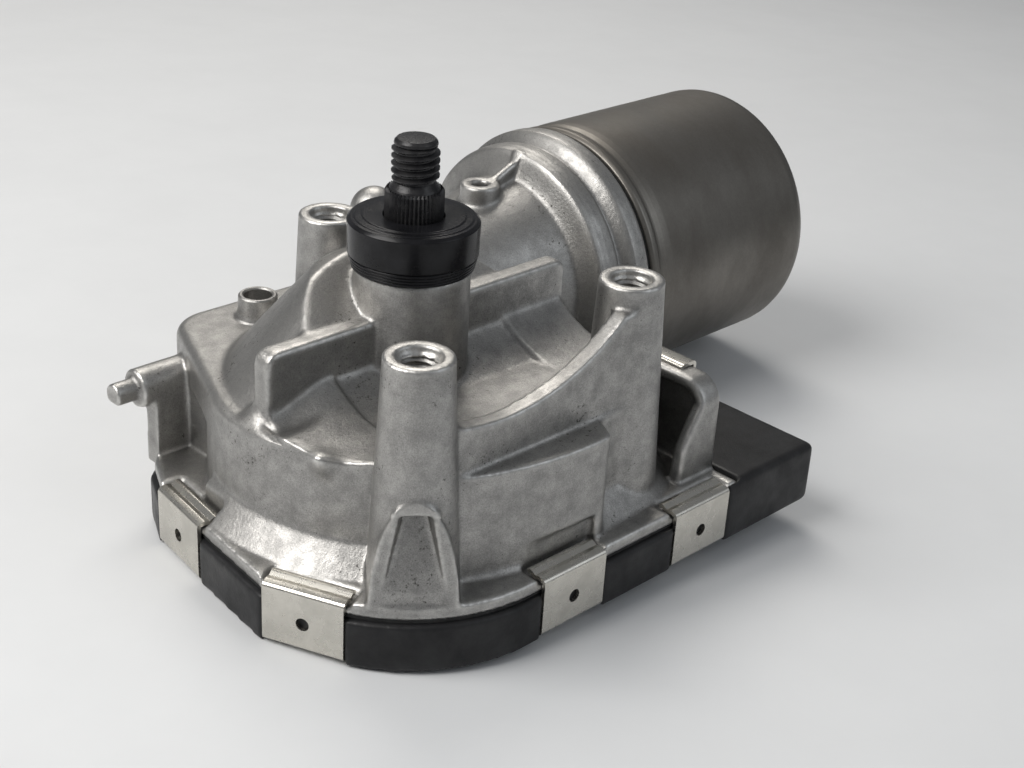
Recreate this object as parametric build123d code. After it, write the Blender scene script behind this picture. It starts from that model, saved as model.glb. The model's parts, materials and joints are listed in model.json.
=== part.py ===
from build123d import *
import math
import os

# Windscreen wiper motor: worm gearbox in a die casting with a permanent magnet motor on its neck.
# Millimetres. Z is the output shaft, X the motor axis, and the cover's outer face is at Z = 0.

# Fits
running_gap = 0.05
round_gap = 0.3
seat_gap = 0.1

# Worm drive
worm_pitch_r = 4.0
worm_gap = 0.7
motor_z = 22.6
tooth_count = 58
tooth_module = 1.0
wheel_width = 5.6
wheel_rim_t = 3.0
wheel_hub_t = 1.5
web_recess = 1.4
tooth_share = 0.4
worm_turns = 6
pressure_angle = 20.0

# Output shaft
shaft_r = 5.0
thread_r = 4.0
thread_length = 7.7
thread_edge = 0.6
cone_r = 4.75
cone_shoulder = 1.0
shaft_top_z = 71.5
shaft_flange_r = 8.0
shaft_flange_t = 2.2
sensor_r = 4.0
sensor_t = 3.0

# Shaft bearings and cap
bush_wall = 2.0
lower_bush_length = 9.0
upper_bush_length = 8.0
washer_t = 0.5
washer_r = 8.5
ring_t = 1.0
ring_r = 6.5
ring_opening = 2.0
groove_depth = 0.4
seal_t = 1.4
cap_top_z = 58.4
cap_bottom_z = 49.6
cap_over = 1.3
cap_skirt_over = 0.8
cap_rim_h = 6.6
cap_top_t = 2.4
cap_rib_count = 3
cap_edge = 0.8

# Cover joint
parting_z = 9.0
gasket_t = 0.6
gasket_w = 2.3
gasket_inset = 0.4
flange_t = 2.3
cover_wall = 3.0
cover_floor = 2.4
cover_lip = 0.8

# Plan of the cover joint: three rims beyond the chamber wall, and the corners
front_rim = 6.8
right_rim = 7.5
back_rim = 11.5
front_arc_x = -9.0
front_arc_mid = (-25.4, -37.1)
left_corner = (-33.5, 28.5)
back_left_x = -14.0
back_right_x = 26.0
neck_corner = (34.0, 36.0)
right_corner_y = 14.0

# Cover clips: sheet, notch, and for each seat the way it faces, its rim and its shift along the joint
clip_w = 14.3
clip_t = 0.7
clip_lip = 3.4
clip_bead_r = 0.45
clip_hole_r = 1.15
clip_foot_z = 0.5
clip_seat_drop = 1.0
clip_notch = 0.8
front_clip_shift = 0.4
corner_clip_shift = -31.6
left_front_facing = -156.4
left_front_rim = 8.8
left_front_shift = -3.1
left_back_facing = 172.6
left_back_rim = 5.15
left_back_shift = 8.25
back_clip_shift = -1.0
right_clip_shift = -1.5
clip_seats = (
    (-90.0, front_rim, front_clip_shift),
    (-90.0, front_rim, corner_clip_shift),
    (left_front_facing, left_front_rim, left_front_shift),
    (left_back_facing, left_back_rim, left_back_shift),
    (90.0, back_rim, back_clip_shift),
    (0.0, right_rim, right_clip_shift),
)

# Gear chamber
chamber_wall = 3.2
roof_t = 3.6
deck_fillet = 2.0
foot_w = 4.2
foot_h = 4.5
lower_cavity_h = 4.5
wheel_gap = 1.3
roof_gap = 1.0
back_circle_x = -14.5
back_circle_over = 1.5
back_circle_r = 8.0
neck_circle_x = 20.0
neck_circle_under = 2.0
neck_circle_r = 11.0
right_circle = (21.0, -19.0, 14.0)

# Hub, barrel and the two ribs beside it
barrel_wall = 2.45
barrel_step = 1.2
hub_base_r = 31.5
hub_mid = (25.0, 38.0)
hub_top = (17.3, 47.0)
hub_neck = (11.5, 49.4)
rib_face_y = -2.0
rib_t = 4.0
rib_top_z = 42.3
rib_left_x = -31.5
rib_right_x = 35.5
rib_fillet = 2.0
hub_face_y = 1.0
hub_slope_y = 13.0
hub_far_y = 35.0

# Trough between the ribs and the front wall
trough_r = 24.0
trough_y = -17.0
trough_step = 0.8
trough_steps = (-18.5, 20.0)

# Screw posts, all to one height; the two front ones are set back from the front edge
post_top_z = 50.67
post_r = 5.5
post_base_r = 7.5
post_bore_r = 2.5
post_bore_depth = 18.2
post_mouth_r = 3.45
post_mouth_depth = 1.4
post_depth_step = 0.2
left_post = (-23.9, 12.6)
right_post = (23.4, 13.2)
back_post = (2.0, 24.4)
# Flat pad at the foot of the front left post, with a wedge pocket; angles in degrees
pad_turn = -129.5
pad_w = 14.4
pad_top_z = 29.3
pad_front = 7.1
pad_draft = 2.0
pad_seat = 0.4
pocket_low_z = 13.4
pocket_top_z = 27.6
pocket_low_w = 9.9
pocket_top_w = 5.2
pocket_slope = 17.0
pocket_draft = 16.0

# Front wall between the posts
wall_setback = 8.3
wall_t = 3.2
wall_dip_z = 37.2
wall_dip_x = -9.0
wall_arc_r = 40.0
wall_top_z = 47.0
ledge_setback = 2.9
ledge_top_z = 30.0
ledge_x = (-19.5, 10.0)
ledge_bow = (-6.0, 1.0)
ledge_round = 2.5

# End wall and pocket to the right of the posts
end_wall_t = 2.6
end_wall_top_z = 29.2
end_wall_setback = 5.8
end_wall_y = -8.0
end_wall_round = 5.0
wall_clip_y = (-28.5, -18.5)
wall_clip_t = 0.7
wall_clip_leg = 9.0

# Neck towards the motor can, with its radii set against the can's
neck_start = (4.0, 8.6)
neck_low = (30.0, 14.0)
neck_mid_x = 47.0
neck_mid_in = 9.1
neck_flare_x = 56.5
neck_flare_in = 5.1
neck_ring_x = 60.5
neck_ring_in = 1.5
neck_ring_w = 2.0
neck_bead_x = 65.5
neck_bead_over = 0.3
neck_wall = 6.4
neck_groove_d = 1.0
neck_clip_x = 45.5
can_x = 70.0
spigot_l = 4.0
spigot_wall = 3.2
tunnel_end_x = -19.0
boss_x = 47.0
boss_r = 4.0
boss_h = 3.0
boss_hole_r = 1.7
boss_hole_depth = 4.0
wedge_t = 2.0
wedge_end_x = 57.5
wedge_end_in = 2.7
dome_place = (17.0, 30.0)
dome_r = 4.6
dome_top_z = 50.6

# Deck boss and dowel on the left
deck_boss_x = -7.5
deck_boss_r = 3.6
deck_boss_h = 3.8
deck_boss_hole_r = 2.6
deck_boss_hole_depth = 3.0
dowel_lift = 1.0
dowel_r = 2.1
dowel_tip_x = -38.4
dowel_step_x = -34.0
dowel_boss_r = 3.5
dowel_flat = 1.6
dowel_wall_x = -32.0
dowel_wall_y = 13.3

# Motor can
can_r = 27.7
can_wall = 1.8
can_end_x = 123.2
can_round = 5.0
can_boss_r = 8.8
can_boss_h = 4.0
can_boss_draft = 0.6

# Armature
armature_r = 4.0
worm_journal_r = 2.7
air_gap = 0.7
core_x = (80.0, 108.0)
slot_count = 12
slot_w = 3.0
slot_depth = 7.5
slot_mouth_w = 1.5
slot_mouth_depth = 1.5
coil_step = 2.7
coil_inner_r = 7.0
coil_length = 4.5
commutator_r = 9.0
commutator_x = (64.5, 75.0)
magnet_count = 4
magnet_angle = 72.0
magnet_t = 3.7
magnet_over = 3.0
front_bearing_r = 9.0
front_bearing_x = (20.0, 27.0)
rear_bearing_r = 6.4
worm_bush_length = 5.0
journal_gap = 1.0
bearing_shoulder = 2.0
bearing_room = 1.0
rear_bearing_inset = 1.0
button_t = 0.9
end_play = 0.1
retainer_r = 12.0
retainer_t = 0.8
retainer_gap = 1.0

# Brush gear
brush_plate_x = (62.5, 65.5)
brush_plate_hole_r = 10.5
brush_w = 5.0
brush_x = (67.5, 72.5)
brush_guide_t = 0.7
brush_guide_gap = 1.5
brush_stop_t = 1.5
brush_stop_gap = 1.5
brush_angles = (90.0, -90.0)
spring_r = 1.9
spring_wire = 0.5
spring_length = 2.3
choke_r = 2.4
choke_length = 7.0
choke_gap = 1.3
choke_angles = (0.0, 180.0)

# Connector block and its socket
connector_end_x = 64.0
connector_y = (-42.1, -17.5)
connector_top_z = 11.7
connector_round = 1.2
socket_depth = 18.0
socket_wall = 2.4
pin_count = 5
pin_w = 1.2
pin_t = 0.8
pin_inset = 6.0
pin_overlap = 2.0

# Circuit board
board_t = 1.6
board_z = 4.4
board_inset = 7.0
board_post_r = 2.0
board_posts = ((-24.0, -18.0), (24.0, -30.0), (-24.0, 22.0), (26.0, 8.0))
relay_size = (15.0, 12.0, 7.5)
relay_places = ((-14.0, -16.0), (-14.0, 14.0))
capacitor_r = 4.0
capacitor_h = 6.5
capacitor_place = (16.0, -16.0)
chip_size = (6.0, 5.0, 1.6)

# Sizes that follow
wheel_pitch_r = tooth_count * tooth_module / 2
centre_distance = wheel_pitch_r + worm_pitch_r
tunnel_r = worm_pitch_r + tooth_module + worm_gap
tooth_root_depth = 1.25 * tooth_module
lead = math.pi * tooth_module
wheel_tip_r = wheel_pitch_r + tooth_module
wheel_top_z = motor_z + wheel_width / 2
wheel_bottom_z = motor_z - wheel_width / 2
chamber_r = wheel_tip_r + wheel_gap
chamber_outer_r = chamber_r + chamber_wall
front_y = -(chamber_outer_r + front_rim)
right_x = chamber_outer_r + right_rim
back_y = chamber_outer_r + back_rim
wall_front_y = front_y + wall_setback
ledge_front_y = front_y + ledge_setback
post_places = ((left_post[0], front_y + left_post[1]), (right_post[0], front_y + right_post[1]), back_post)
back_circle = (back_circle_x, centre_distance + back_circle_over, back_circle_r)
neck_circle = (neck_circle_x, centre_distance - neck_circle_under, neck_circle_r)
deck_boss = (deck_boss_x, centre_distance)
chamber_top_z = wheel_top_z + roof_gap
deck_z = chamber_top_z + roof_t
trough_z = deck_z - trough_step
flange_top_z = parting_z + flange_t
rim_z = parting_z - gasket_t
bush_r = shaft_r + running_gap + bush_wall
bush_bore_r = bush_r + round_gap
barrel_top_z = cap_top_z - cap_top_t - seal_t
barrel_r = bush_bore_r + barrel_wall
barrel_neck_r = barrel_r - barrel_step
cap_r = barrel_r + cap_over
cap_skirt_r = barrel_r + cap_skirt_over
shaft_bottom_z = wheel_bottom_z - seat_gap - shaft_flange_t
can_inner_r = can_r - can_wall
can_inner_end_x = can_end_x - can_wall
can_boss_end_x = can_end_x + can_boss_h
pocket_r = rear_bearing_r + round_gap
armature_end_x = can_boss_end_x - can_wall - end_play
spigot_r = can_inner_r - round_gap
spigot_bore_r = spigot_r - spigot_wall
magnet_outer_r = can_inner_r - round_gap
core_r = magnet_outer_r - magnet_t - air_gap
coil_r = core_r - coil_step
neck_mid_r = can_r - neck_mid_in
neck_flare_r = can_r - neck_flare_in
neck_ring_r = can_r - neck_ring_in
neck_bead_r = can_r + neck_bead_over
choke_offset = neck_flare_r - neck_wall - choke_gap - choke_r
brush_guide_r = commutator_r + brush_guide_gap
brush_stop_r = spigot_bore_r - brush_stop_gap - brush_stop_t
brush_outer_r = brush_stop_r - spring_length


def block(x0, x1, y0, y1, z0, z1):
    """Box between two corners."""
    middle = Pos((x0 + x1) / 2, (y0 + y1) / 2, (z0 + z1) / 2)
    return middle * Box(x1 - x0, y1 - y0, z1 - z0)


def rod_z(radius, z0, z1, place=(0, 0)):
    """Upright cylinder."""
    return Pos(place[0], place[1], (z0 + z1) / 2) * Cylinder(radius, z1 - z0)


def rod_x(radius, x0, x1, lift=0.0):
    """Cylinder along the motor axis."""
    return Pos((x0 + x1) / 2, centre_distance, motor_z + lift) * Rot(0, 90, 0) * Cylinder(radius, x1 - x0)


def ring_z(outer, inner, z0, z1):
    return rod_z(outer, z0, z1) - rod_z(inner, z0, z1)


def ring_x(outer, inner, x0, x1):
    return rod_x(outer, x0, x1) - rod_x(inner, x0, x1)


def turned_z(*profile):
    """Solid of revolution about the output shaft from (radius, height) corners."""
    corners = [(r, 0, z) for r, z in profile]
    return revolve(make_face(Polyline(*corners, close=True)), Axis.Z)


def turned_x(*edges):
    """Solid of revolution about the motor axis from edges drawn as (x, radius)."""
    frame = Plane(origin=(0, centre_distance, motor_z), x_dir=(1, 0, 0), z_dir=(0, -1, 0))
    face = frame * make_face(Curve() + list(edges))
    return revolve(face, Axis((0, centre_distance, motor_z), (1, 0, 0)))


def on_motor(angle, solid):
    """Turns a solid drawn along Z from the motor axis about that axis."""
    return Pos(0, centre_distance, motor_z) * Rot(angle, 0, 0) * solid


def half(solid, axis, at, side):
    """Part of a solid on one side of a plane across X, Y or Z."""
    return split(solid, Plane(origin=at * Vector(*axis), z_dir=axis), keep=side)


def seat_point(seat, along=0.0):
    """Point on a clip's straight seat, at a distance along it from its middle."""
    facing, rim, shift = seat
    turn = math.radians(facing)
    reach, slide = chamber_outer_r + rim, shift + along
    return (reach * math.cos(turn) + slide * math.sin(turn), reach * math.sin(turn) - slide * math.cos(turn))


def seat_ends(seat):
    half_w = clip_w / 2 + seat_gap
    return seat_point(seat, half_w), seat_point(seat, -half_w)


def joint_plan(grow=0.0):
    """Outline of the joint between casting and cover."""
    low_left, up_left = seat_ends(clip_seats[2]), seat_ends(clip_seats[3])
    start, end = (front_arc_x, front_y), low_left[1]
    edges = [
        Line((right_x, front_y), start),
        ThreePointArc(start, front_arc_mid, end),
        Polyline(end, low_left[0], up_left[1], up_left[0], left_corner, (back_left_x, back_y),
                 (back_right_x, back_y), neck_corner, (right_x, right_corner_y), (right_x, front_y)),
    ]
    face = make_face(Curve() + edges)
    return offset(face, grow) if grow else face


def deck_plan(grow=0.0):
    """Outline of the gear chamber with the worm tunnel behind it."""
    circles = Sketch() + Circle(chamber_outer_r + grow)
    for x, y, radius in (back_circle, neck_circle, right_circle):
        circles += Pos(x, y) * Circle(radius + grow)
    return make_hull(circles.edges())


def raised(face, z0, z1):
    return extrude(Pos(0, 0, z0) * face, z1 - z0)


def at_seat(seat, solid):
    """Moves a solid drawn with Y outward and X along the joint to a clip's seat."""
    return Pos(*seat_point(seat), 0) * Rot(0, 0, seat[0] - 90) * solid


def clip():
    """Spring clip: flat outer face with a hole, lip over the flange, foot under the cover."""
    lip_z = flange_top_z - clip_seat_drop + seat_gap
    outer = seat_gap + clip_t
    half_w = clip_w / 2
    sheet = block(-half_w, half_w, seat_gap, outer, clip_foot_z, lip_z + clip_t)
    sheet += block(-half_w, half_w, -clip_lip, outer, lip_z, lip_z + clip_t)
    sheet += block(-half_w, half_w, -clip_lip, outer, clip_foot_z, clip_foot_z + clip_t)
    bead = Pos(0, -clip_lip + clip_bead_r, lip_z + clip_t) * Rot(0, 90, 0) * Cylinder(clip_bead_r, clip_w)
    hole_z = (clip_foot_z + lip_z) / 2
    hole = Pos(0, outer, hole_z) * Rot(90, 0, 0) * Cylinder(clip_hole_r, 4 * clip_t)
    return sheet + bead - hole


def clip_notch_room():
    """Notch that a clip's lip needs in the casting's flange and foot."""
    half_w = clip_w / 2 + clip_notch
    return block(-half_w, half_w, -clip_lip - clip_notch, cover_lip + clip_t, flange_top_z - clip_seat_drop,
                 flange_top_z + foot_h)


def clip_cover_room():
    """Space that a clip takes out of the cover's rim and underside."""
    half_w, far = clip_w / 2 + seat_gap, cover_lip + clip_t
    side = block(-half_w, half_w, 0, far, 0, parting_z)
    return side + block(-half_w, half_w, -clip_lip - seat_gap, far, 0, clip_foot_z + clip_t + seat_gap)


def foot():
    """Sloping foot of the chamber wall on the flange."""
    top_z = flange_top_z + foot_h
    slope = loft([Pos(0, 0, flange_top_z) * deck_plan(foot_w), Pos(0, 0, top_z) * deck_plan()])
    return slope & raised(joint_plan(), flange_top_z, top_z)


def hub():
    """Domed cone from the deck to the barrel, sloping down to the two ribs in front of it."""
    cone = turned_z((0, chamber_top_z), (hub_base_r, chamber_top_z), (hub_base_r, deck_z), hub_mid, hub_top,
                    hub_neck, (barrel_r, hub_neck[1]), (0, hub_neck[1]))
    top_z = hub_neck[1]
    side = Polyline((hub_face_y, rib_top_z), (hub_face_y, chamber_top_z), (hub_far_y, chamber_top_z),
                    (hub_far_y, top_z), (hub_slope_y, top_z), close=True)
    behind = extrude(Plane.YZ * make_face(side), hub_base_r, both=True)
    return cone & behind


def ribs():
    """The wall that runs through the barrel, with rounded upper ends."""
    wall = block(rib_left_x, rib_right_x, rib_face_y, rib_face_y + rib_t, chamber_top_z, rib_top_z)
    upper = wall.edges().filter_by(Axis.Y).group_by(Axis.Z)[-1]
    return fillet(upper, rib_fillet)


def trough():
    """Hollow floor in front of the ribs, in three lengths with a small step between them."""
    inner_y = wall_front_y + wall_t
    spans = (rib_left_x, *trough_steps, rib_right_x)
    floor = Part()
    for i, (x0, x1) in enumerate(zip(spans, spans[1:])):
        low = trough_z + (0 if i == 1 else trough_step)
        slab = block(x0, x1, inner_y, rib_face_y, chamber_top_z, rib_top_z)
        roll = Pos((x0 + x1) / 2, trough_y, low + trough_r) * Rot(0, 90, 0) * Cylinder(trough_r, x1 - x0)
        floor += slab - roll
    return floor & raised(deck_plan(), chamber_top_z, rib_top_z)


def posts():
    """Three screw posts with draft."""
    group = Part()
    for x, y in post_places:
        height = post_top_z - parting_z
        group += Pos(x, y, parting_z + height / 2) * Cone(post_base_r, post_r, height)
    return group


def post_cuts():
    """Blind bores with a wider mouth, each a little shorter than the one before, as their cores are."""
    group = Part()
    for i, place in enumerate(post_places):
        step = i * post_depth_step
        group += rod_z(post_bore_r, post_top_z - post_bore_depth + step, post_top_z, place)
        group += rod_z(post_mouth_r, post_top_z - post_mouth_depth - step, post_top_z, place)
    return group


def leaning(y, z, lean):
    """Plane that faces outward along Y and leans back as it rises."""
    turn = math.radians(lean)
    return Plane(origin=(0, y, z), x_dir=(1, 0, 0), z_dir=(0, math.cos(turn), math.sin(turn)))


def at_pad(solid):
    """Moves a solid drawn with Y outward to the foot of the front left post."""
    return Pos(*post_places[0], 0) * Rot(0, 0, pad_turn - 90) * solid


def arched_slab(low_z):
    """Upright slab with an arched top, from the post's axis outward."""
    arch = Pos(0, parting_z) * Ellipse(pad_w / 2, pad_top_z - parting_z)
    arch &= Pos(0, (low_z + pad_top_z) / 2) * Rectangle(pad_w, pad_top_z - low_z)
    return extrude(Plane.XZ * arch, -2 * pad_front)


def foot_pad():
    """Arched pad that brings the front left post out to the rim."""
    slab = arched_slab(flange_top_z - pad_seat)
    return at_pad(split(slab, leaning(pad_front, flange_top_z, pad_draft), keep=Keep.BOTTOM))


def pad_face_cut():
    """What stands in front of the pad's flat face."""
    return at_pad(split(arched_slab(flange_top_z), leaning(pad_front, flange_top_z, pad_draft), keep=Keep.TOP))


def pad_pocket():
    """Wedge pocket in the pad: deep under its flat top, run out to nothing below."""
    widening = (pocket_low_w - pocket_top_w) / (pocket_top_z - pocket_low_z)
    sections = []
    for y in (0, 2 * pad_front):
        high = pocket_top_w / 2 + (y - pad_front) * math.tan(math.radians(pocket_draft))
        low = high + widening * (pocket_top_z - parting_z) / 2
        outline = Polyline((-low, parting_z), (low, parting_z), (high, pocket_top_z), (-high, pocket_top_z),
                           close=True)
        sections.append(Plane.XZ * Pos(0, 0, -y) * make_face(outline))
    face_y = pad_front - (pocket_low_z - flange_top_z) * math.tan(math.radians(pad_draft))
    return at_pad(split(loft(sections, ruled=True), leaning(face_y, pocket_low_z, pocket_slope), keep=Keep.TOP))


def front_wall():
    """Wall between the front posts: hollow top edge above, ledge below."""
    left, right = post_places[0][0], post_places[1][0]
    wall = block(left, right, wall_front_y, wall_front_y + wall_t, parting_z, wall_top_z)
    dip = Pos(wall_dip_x, wall_front_y, wall_dip_z + wall_arc_r) * Rot(90, 0, 0)
    wall -= dip * Cylinder(wall_arc_r, 4 * wall_t)
    x0, x1 = ledge_x
    inner_y = wall_front_y + wall_t
    bow_x, bow_setback = ledge_bow
    front = ThreePointArc((x0, wall_front_y), (bow_x, ledge_front_y + bow_setback), (x1, ledge_front_y))
    plan = Polyline((x1, ledge_front_y), (x1 + ledge_round, wall_front_y), (x1 + ledge_round, inner_y),
                    (x0, inner_y), (x0, wall_front_y))
    ledge = raised(make_face(Curve() + [front, plan]), parting_z, ledge_top_z)
    corner = ledge.edges().filter_by(Axis.Z).sort_by(Axis.Y)[0]
    return wall + fillet(corner, ledge_round)


def end_wall():
    """Wall at the right end and the web that ties it to the chamber."""
    y0, y1 = front_y + end_wall_setback, end_wall_y
    wall = block(right_x - end_wall_t, right_x, y0, y1, parting_z, end_wall_top_z)
    corner = wall.edges().filter_by(Axis.X).sort_by(lambda e: e.center().Y - e.center().Z)[0]
    wall = fillet(corner, end_wall_round)
    web_x = right_circle[0]
    return wall + block(web_x, right_x, y1 - end_wall_t, y1, parting_z, end_wall_top_z)


def neck():
    """Flared neck with a ring, a groove and a bead in front of the motor can."""
    ring, ring_end = (neck_ring_x, neck_ring_r), neck_ring_x + neck_ring_w
    groove_r = neck_ring_r - neck_groove_d
    slope = (neck_low[0] - neck_start[0], neck_low[1] - neck_start[1])
    outer = [
        Line((neck_start[0], 0), neck_start),
        Line(neck_start, neck_low),
        Spline(neck_low, (neck_mid_x, neck_mid_r), (neck_flare_x, neck_flare_r), ring,
               tangents=(slope, (1, 0))),
        Polyline(ring, (ring_end, neck_ring_r), (ring_end, groove_r), (neck_bead_x, groove_r),
                 (neck_bead_x, neck_bead_r), (can_x, neck_bead_r), (can_x, spigot_r),
                 (can_x + spigot_l, spigot_r), (can_x + spigot_l, 0), (neck_start[0], 0)),
    ]
    solid = turned_x(*outer)
    return solid - block(neck_start[0], neck_clip_x, 0, 2 * centre_distance, motor_z - can_r, parting_z)


def neck_details():
    """Screw boss and wedge rib on top of the neck, the domed boss near the barrel, and the screw hole."""
    top_z = motor_z + neck_mid_r + boss_h
    boss = rod_z(boss_r, motor_z, top_z, (boss_x, centre_distance))
    start_x = boss_x + (boss_r + boss_hole_r) / 2
    end_z = motor_z + can_r - wedge_end_in
    fin = Polyline((start_x, motor_z), (start_x, top_z), (wedge_end_x, end_z), (wedge_end_x, motor_z),
                   close=True)
    wedge = Pos(0, centre_distance, 0) * extrude(Plane.XZ * make_face(fin), wedge_t / 2, both=True)
    dome = rod_z(dome_r, chamber_top_z, dome_top_z - dome_r, dome_place)
    dome += Pos(*dome_place, dome_top_z - dome_r) * Sphere(dome_r)
    hole = rod_z(boss_hole_r, top_z - boss_hole_depth, top_z, (boss_x, centre_distance))
    return boss + wedge, dome, hole


def dowel():
    """Dowel pin on its boss at the left, and the wall under it."""
    boss = rod_x(dowel_boss_r, dowel_step_x, back_circle[0], dowel_lift)
    pin = rod_x(dowel_r, dowel_tip_x, dowel_step_x, dowel_lift)
    low = motor_z + dowel_lift - dowel_flat
    pin = half(pin, (0, 0, 1), low, Keep.TOP)
    wall = block(dowel_wall_x, back_circle[0], dowel_wall_y, centre_distance, parting_z, motor_z)
    return boss + pin + wall


def inner_space():
    """Gear chamber, worm tunnel, bearing seats and the room for the brush gear."""
    space = rod_z(chamber_r, parting_z, chamber_top_z)
    space += raised(deck_plan(-chamber_wall), parting_z, parting_z + lower_cavity_h)
    space += rod_x(tunnel_r, tunnel_end_x, front_bearing_x[0])
    seat_x, seat_r = front_bearing_x[0], front_bearing_r + round_gap
    room = [
        Polyline((seat_x, 0), (seat_x, seat_r), (front_bearing_x[1] + bearing_room, seat_r),
                 (neck_mid_x, neck_mid_r - neck_wall), (neck_flare_x, neck_flare_r - neck_wall),
                 (neck_ring_x, spigot_bore_r), (can_x + spigot_l, spigot_bore_r), (can_x + spigot_l, 0),
                 (seat_x, 0)),
    ]
    return space + turned_x(*room)


def gear_housing():
    """The casting."""
    chamber = raised(deck_plan(), parting_z, deck_z)
    deck = fillet(chamber.edges().group_by(Axis.Z)[-1], deck_fillet)
    deck += half(chamber, (0, 1, 0), rib_face_y, Keep.BOTTOM)
    boss, dome, boss_hole = neck_details()
    casting = raised(joint_plan(), parting_z, flange_top_z)
    casting += deck + foot() + hub() + ribs() + trough()
    for piece in (posts(), foot_pad(), front_wall(), end_wall(), neck(), boss, dome, dowel()):
        casting += piece
    casting += rod_z(barrel_r, chamber_top_z, cap_bottom_z - running_gap)
    casting += rod_z(barrel_neck_r, chamber_top_z, barrel_top_z)
    casting += rod_z(deck_boss_r, chamber_top_z, deck_z + deck_boss_h, deck_boss)
    casting -= inner_space()
    casting -= rod_z(bush_bore_r, chamber_top_z, barrel_top_z)
    boss_top = deck_z + deck_boss_h
    casting -= rod_z(deck_boss_hole_r, boss_top - deck_boss_hole_depth, boss_top, deck_boss)
    casting -= post_cuts() + pad_face_cut() + pad_pocket() + boss_hole
    for seat in clip_seats:
        casting -= at_seat(seat, clip_notch_room())
    return casting


def shaft_cap():
    """Black collar over the barrel, with rings below its rim."""
    rim_low = cap_top_z - cap_rim_h
    pitch = (rim_low - cap_bottom_z) / cap_rib_count
    corners = [(shaft_r + round_gap, cap_top_z), (cap_r - cap_edge, cap_top_z), (cap_r, cap_top_z - cap_edge),
               (cap_r, rim_low)]
    for i in range(cap_rib_count):
        z = rim_low - i * pitch
        rib_r = cap_skirt_r - i * cap_edge / cap_rib_count / 2
        groove_r = rib_r - cap_edge / 2
        corners += [(groove_r, z), (groove_r, z - pitch / 3), (rib_r, z - pitch / 2),
                    (rib_r, z - pitch)]
    inside = barrel_neck_r + round_gap
    ceiling = cap_top_z - cap_top_t
    corners += [(inside, cap_bottom_z), (inside, ceiling), (shaft_r + round_gap, ceiling)]
    return turned_z(*corners)


def output_shaft():
    """Shaft with thread, cone, journal, ring groove and the flange under the wheel."""
    thread_z = shaft_top_z - thread_length
    ring_z0 = barrel_top_z - ring_t - 2 * seat_gap
    neck_r = shaft_r - groove_depth
    flange_z = shaft_bottom_z + shaft_flange_t
    return turned_z((0, shaft_bottom_z), (shaft_flange_r, shaft_bottom_z), (shaft_flange_r, flange_z),
                    (shaft_r, flange_z), (shaft_r, ring_z0), (neck_r, ring_z0),
                    (neck_r, ring_z0 + ring_t + 2 * seat_gap), (shaft_r, ring_z0 + ring_t + 2 * seat_gap),
                    (shaft_r, cap_top_z), (cone_r, thread_z - cone_shoulder), (thread_r, thread_z),
                    (thread_r, shaft_top_z - thread_edge), (thread_r - thread_edge, shaft_top_z),
                    (0, shaft_top_z))


def retaining_ring():
    """Open ring in the shaft's groove above the upper bush."""
    z0 = barrel_top_z - ring_t - seat_gap
    ring = ring_z(ring_r, shaft_r - groove_depth + running_gap, z0, z0 + ring_t)
    return ring - block(0, bush_r, -ring_opening / 2, ring_opening / 2, z0, z0 + ring_t)


def lower_bush():
    return ring_z(bush_r, shaft_r + running_gap, chamber_top_z, chamber_top_z + lower_bush_length)


def upper_bush():
    top = barrel_top_z - ring_t - 2 * seat_gap
    return ring_z(bush_r, shaft_r + running_gap, top - upper_bush_length, top)


def shaft_seal():
    """Sealing ring between the barrel's mouth and the cap."""
    z0 = barrel_top_z + running_gap
    return ring_z(barrel_neck_r - round_gap, shaft_r + round_gap, z0, z0 + seal_t - 2 * running_gap)


def thrust_washer():
    z0 = chamber_top_z - seat_gap / 2 - washer_t
    return ring_z(washer_r, shaft_r + round_gap, z0, z0 + washer_t)


def sensor_magnet():
    return rod_z(sensor_r, shaft_bottom_z - sensor_t, shaft_bottom_z)


def tooth_halves():
    """Half widths of a tooth, or of the worm's thread, at its tip and at its root."""
    lean = math.tan(math.radians(pressure_angle))
    half_pitch = tooth_share * lead / 2
    return half_pitch - tooth_module * lean, half_pitch + tooth_root_depth * lean


def worm_wheel():
    """Wheel with slanted teeth, a gap between two of them facing the worm, a web and a hub."""
    root_r = wheel_pitch_r - tooth_root_depth
    pitch_angle = 360 / tooth_count
    half_tip, half_root = tooth_halves()
    corners = []
    for i in range(tooth_count):
        middle = math.radians(90 + (i + 0.5) * pitch_angle)
        for radius, side in ((root_r, -half_root), (wheel_tip_r, -half_tip), (wheel_tip_r, half_tip),
                             (root_r, half_root)):
            angle = middle + side / radius
            corners.append((radius * math.cos(angle), radius * math.sin(angle)))
    teeth = make_face(Polyline(*corners, close=True))
    slant = math.degrees(wheel_width * lead / (2 * math.pi * worm_pitch_r) / wheel_pitch_r)
    low = Pos(0, 0, wheel_bottom_z) * Rot(0, 0, -slant / 2) * teeth
    wheel = Solid.extrude_linear_with_rotation(low.face(), (0, 0, wheel_bottom_z), (0, 0, wheel_width), slant)
    rim_r, hub_r = root_r - wheel_rim_t, washer_r + wheel_hub_t
    for z0, z1 in ((wheel_bottom_z, wheel_bottom_z + web_recess), (wheel_top_z - web_recess, wheel_top_z)):
        wheel -= ring_z(rim_r, hub_r, z0, z1)
    boss_top = chamber_top_z - seat_gap - washer_t
    wheel += rod_z(hub_r, motor_z, boss_top)
    return wheel - rod_z(shaft_r + round_gap, wheel_bottom_z, boss_top)


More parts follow.
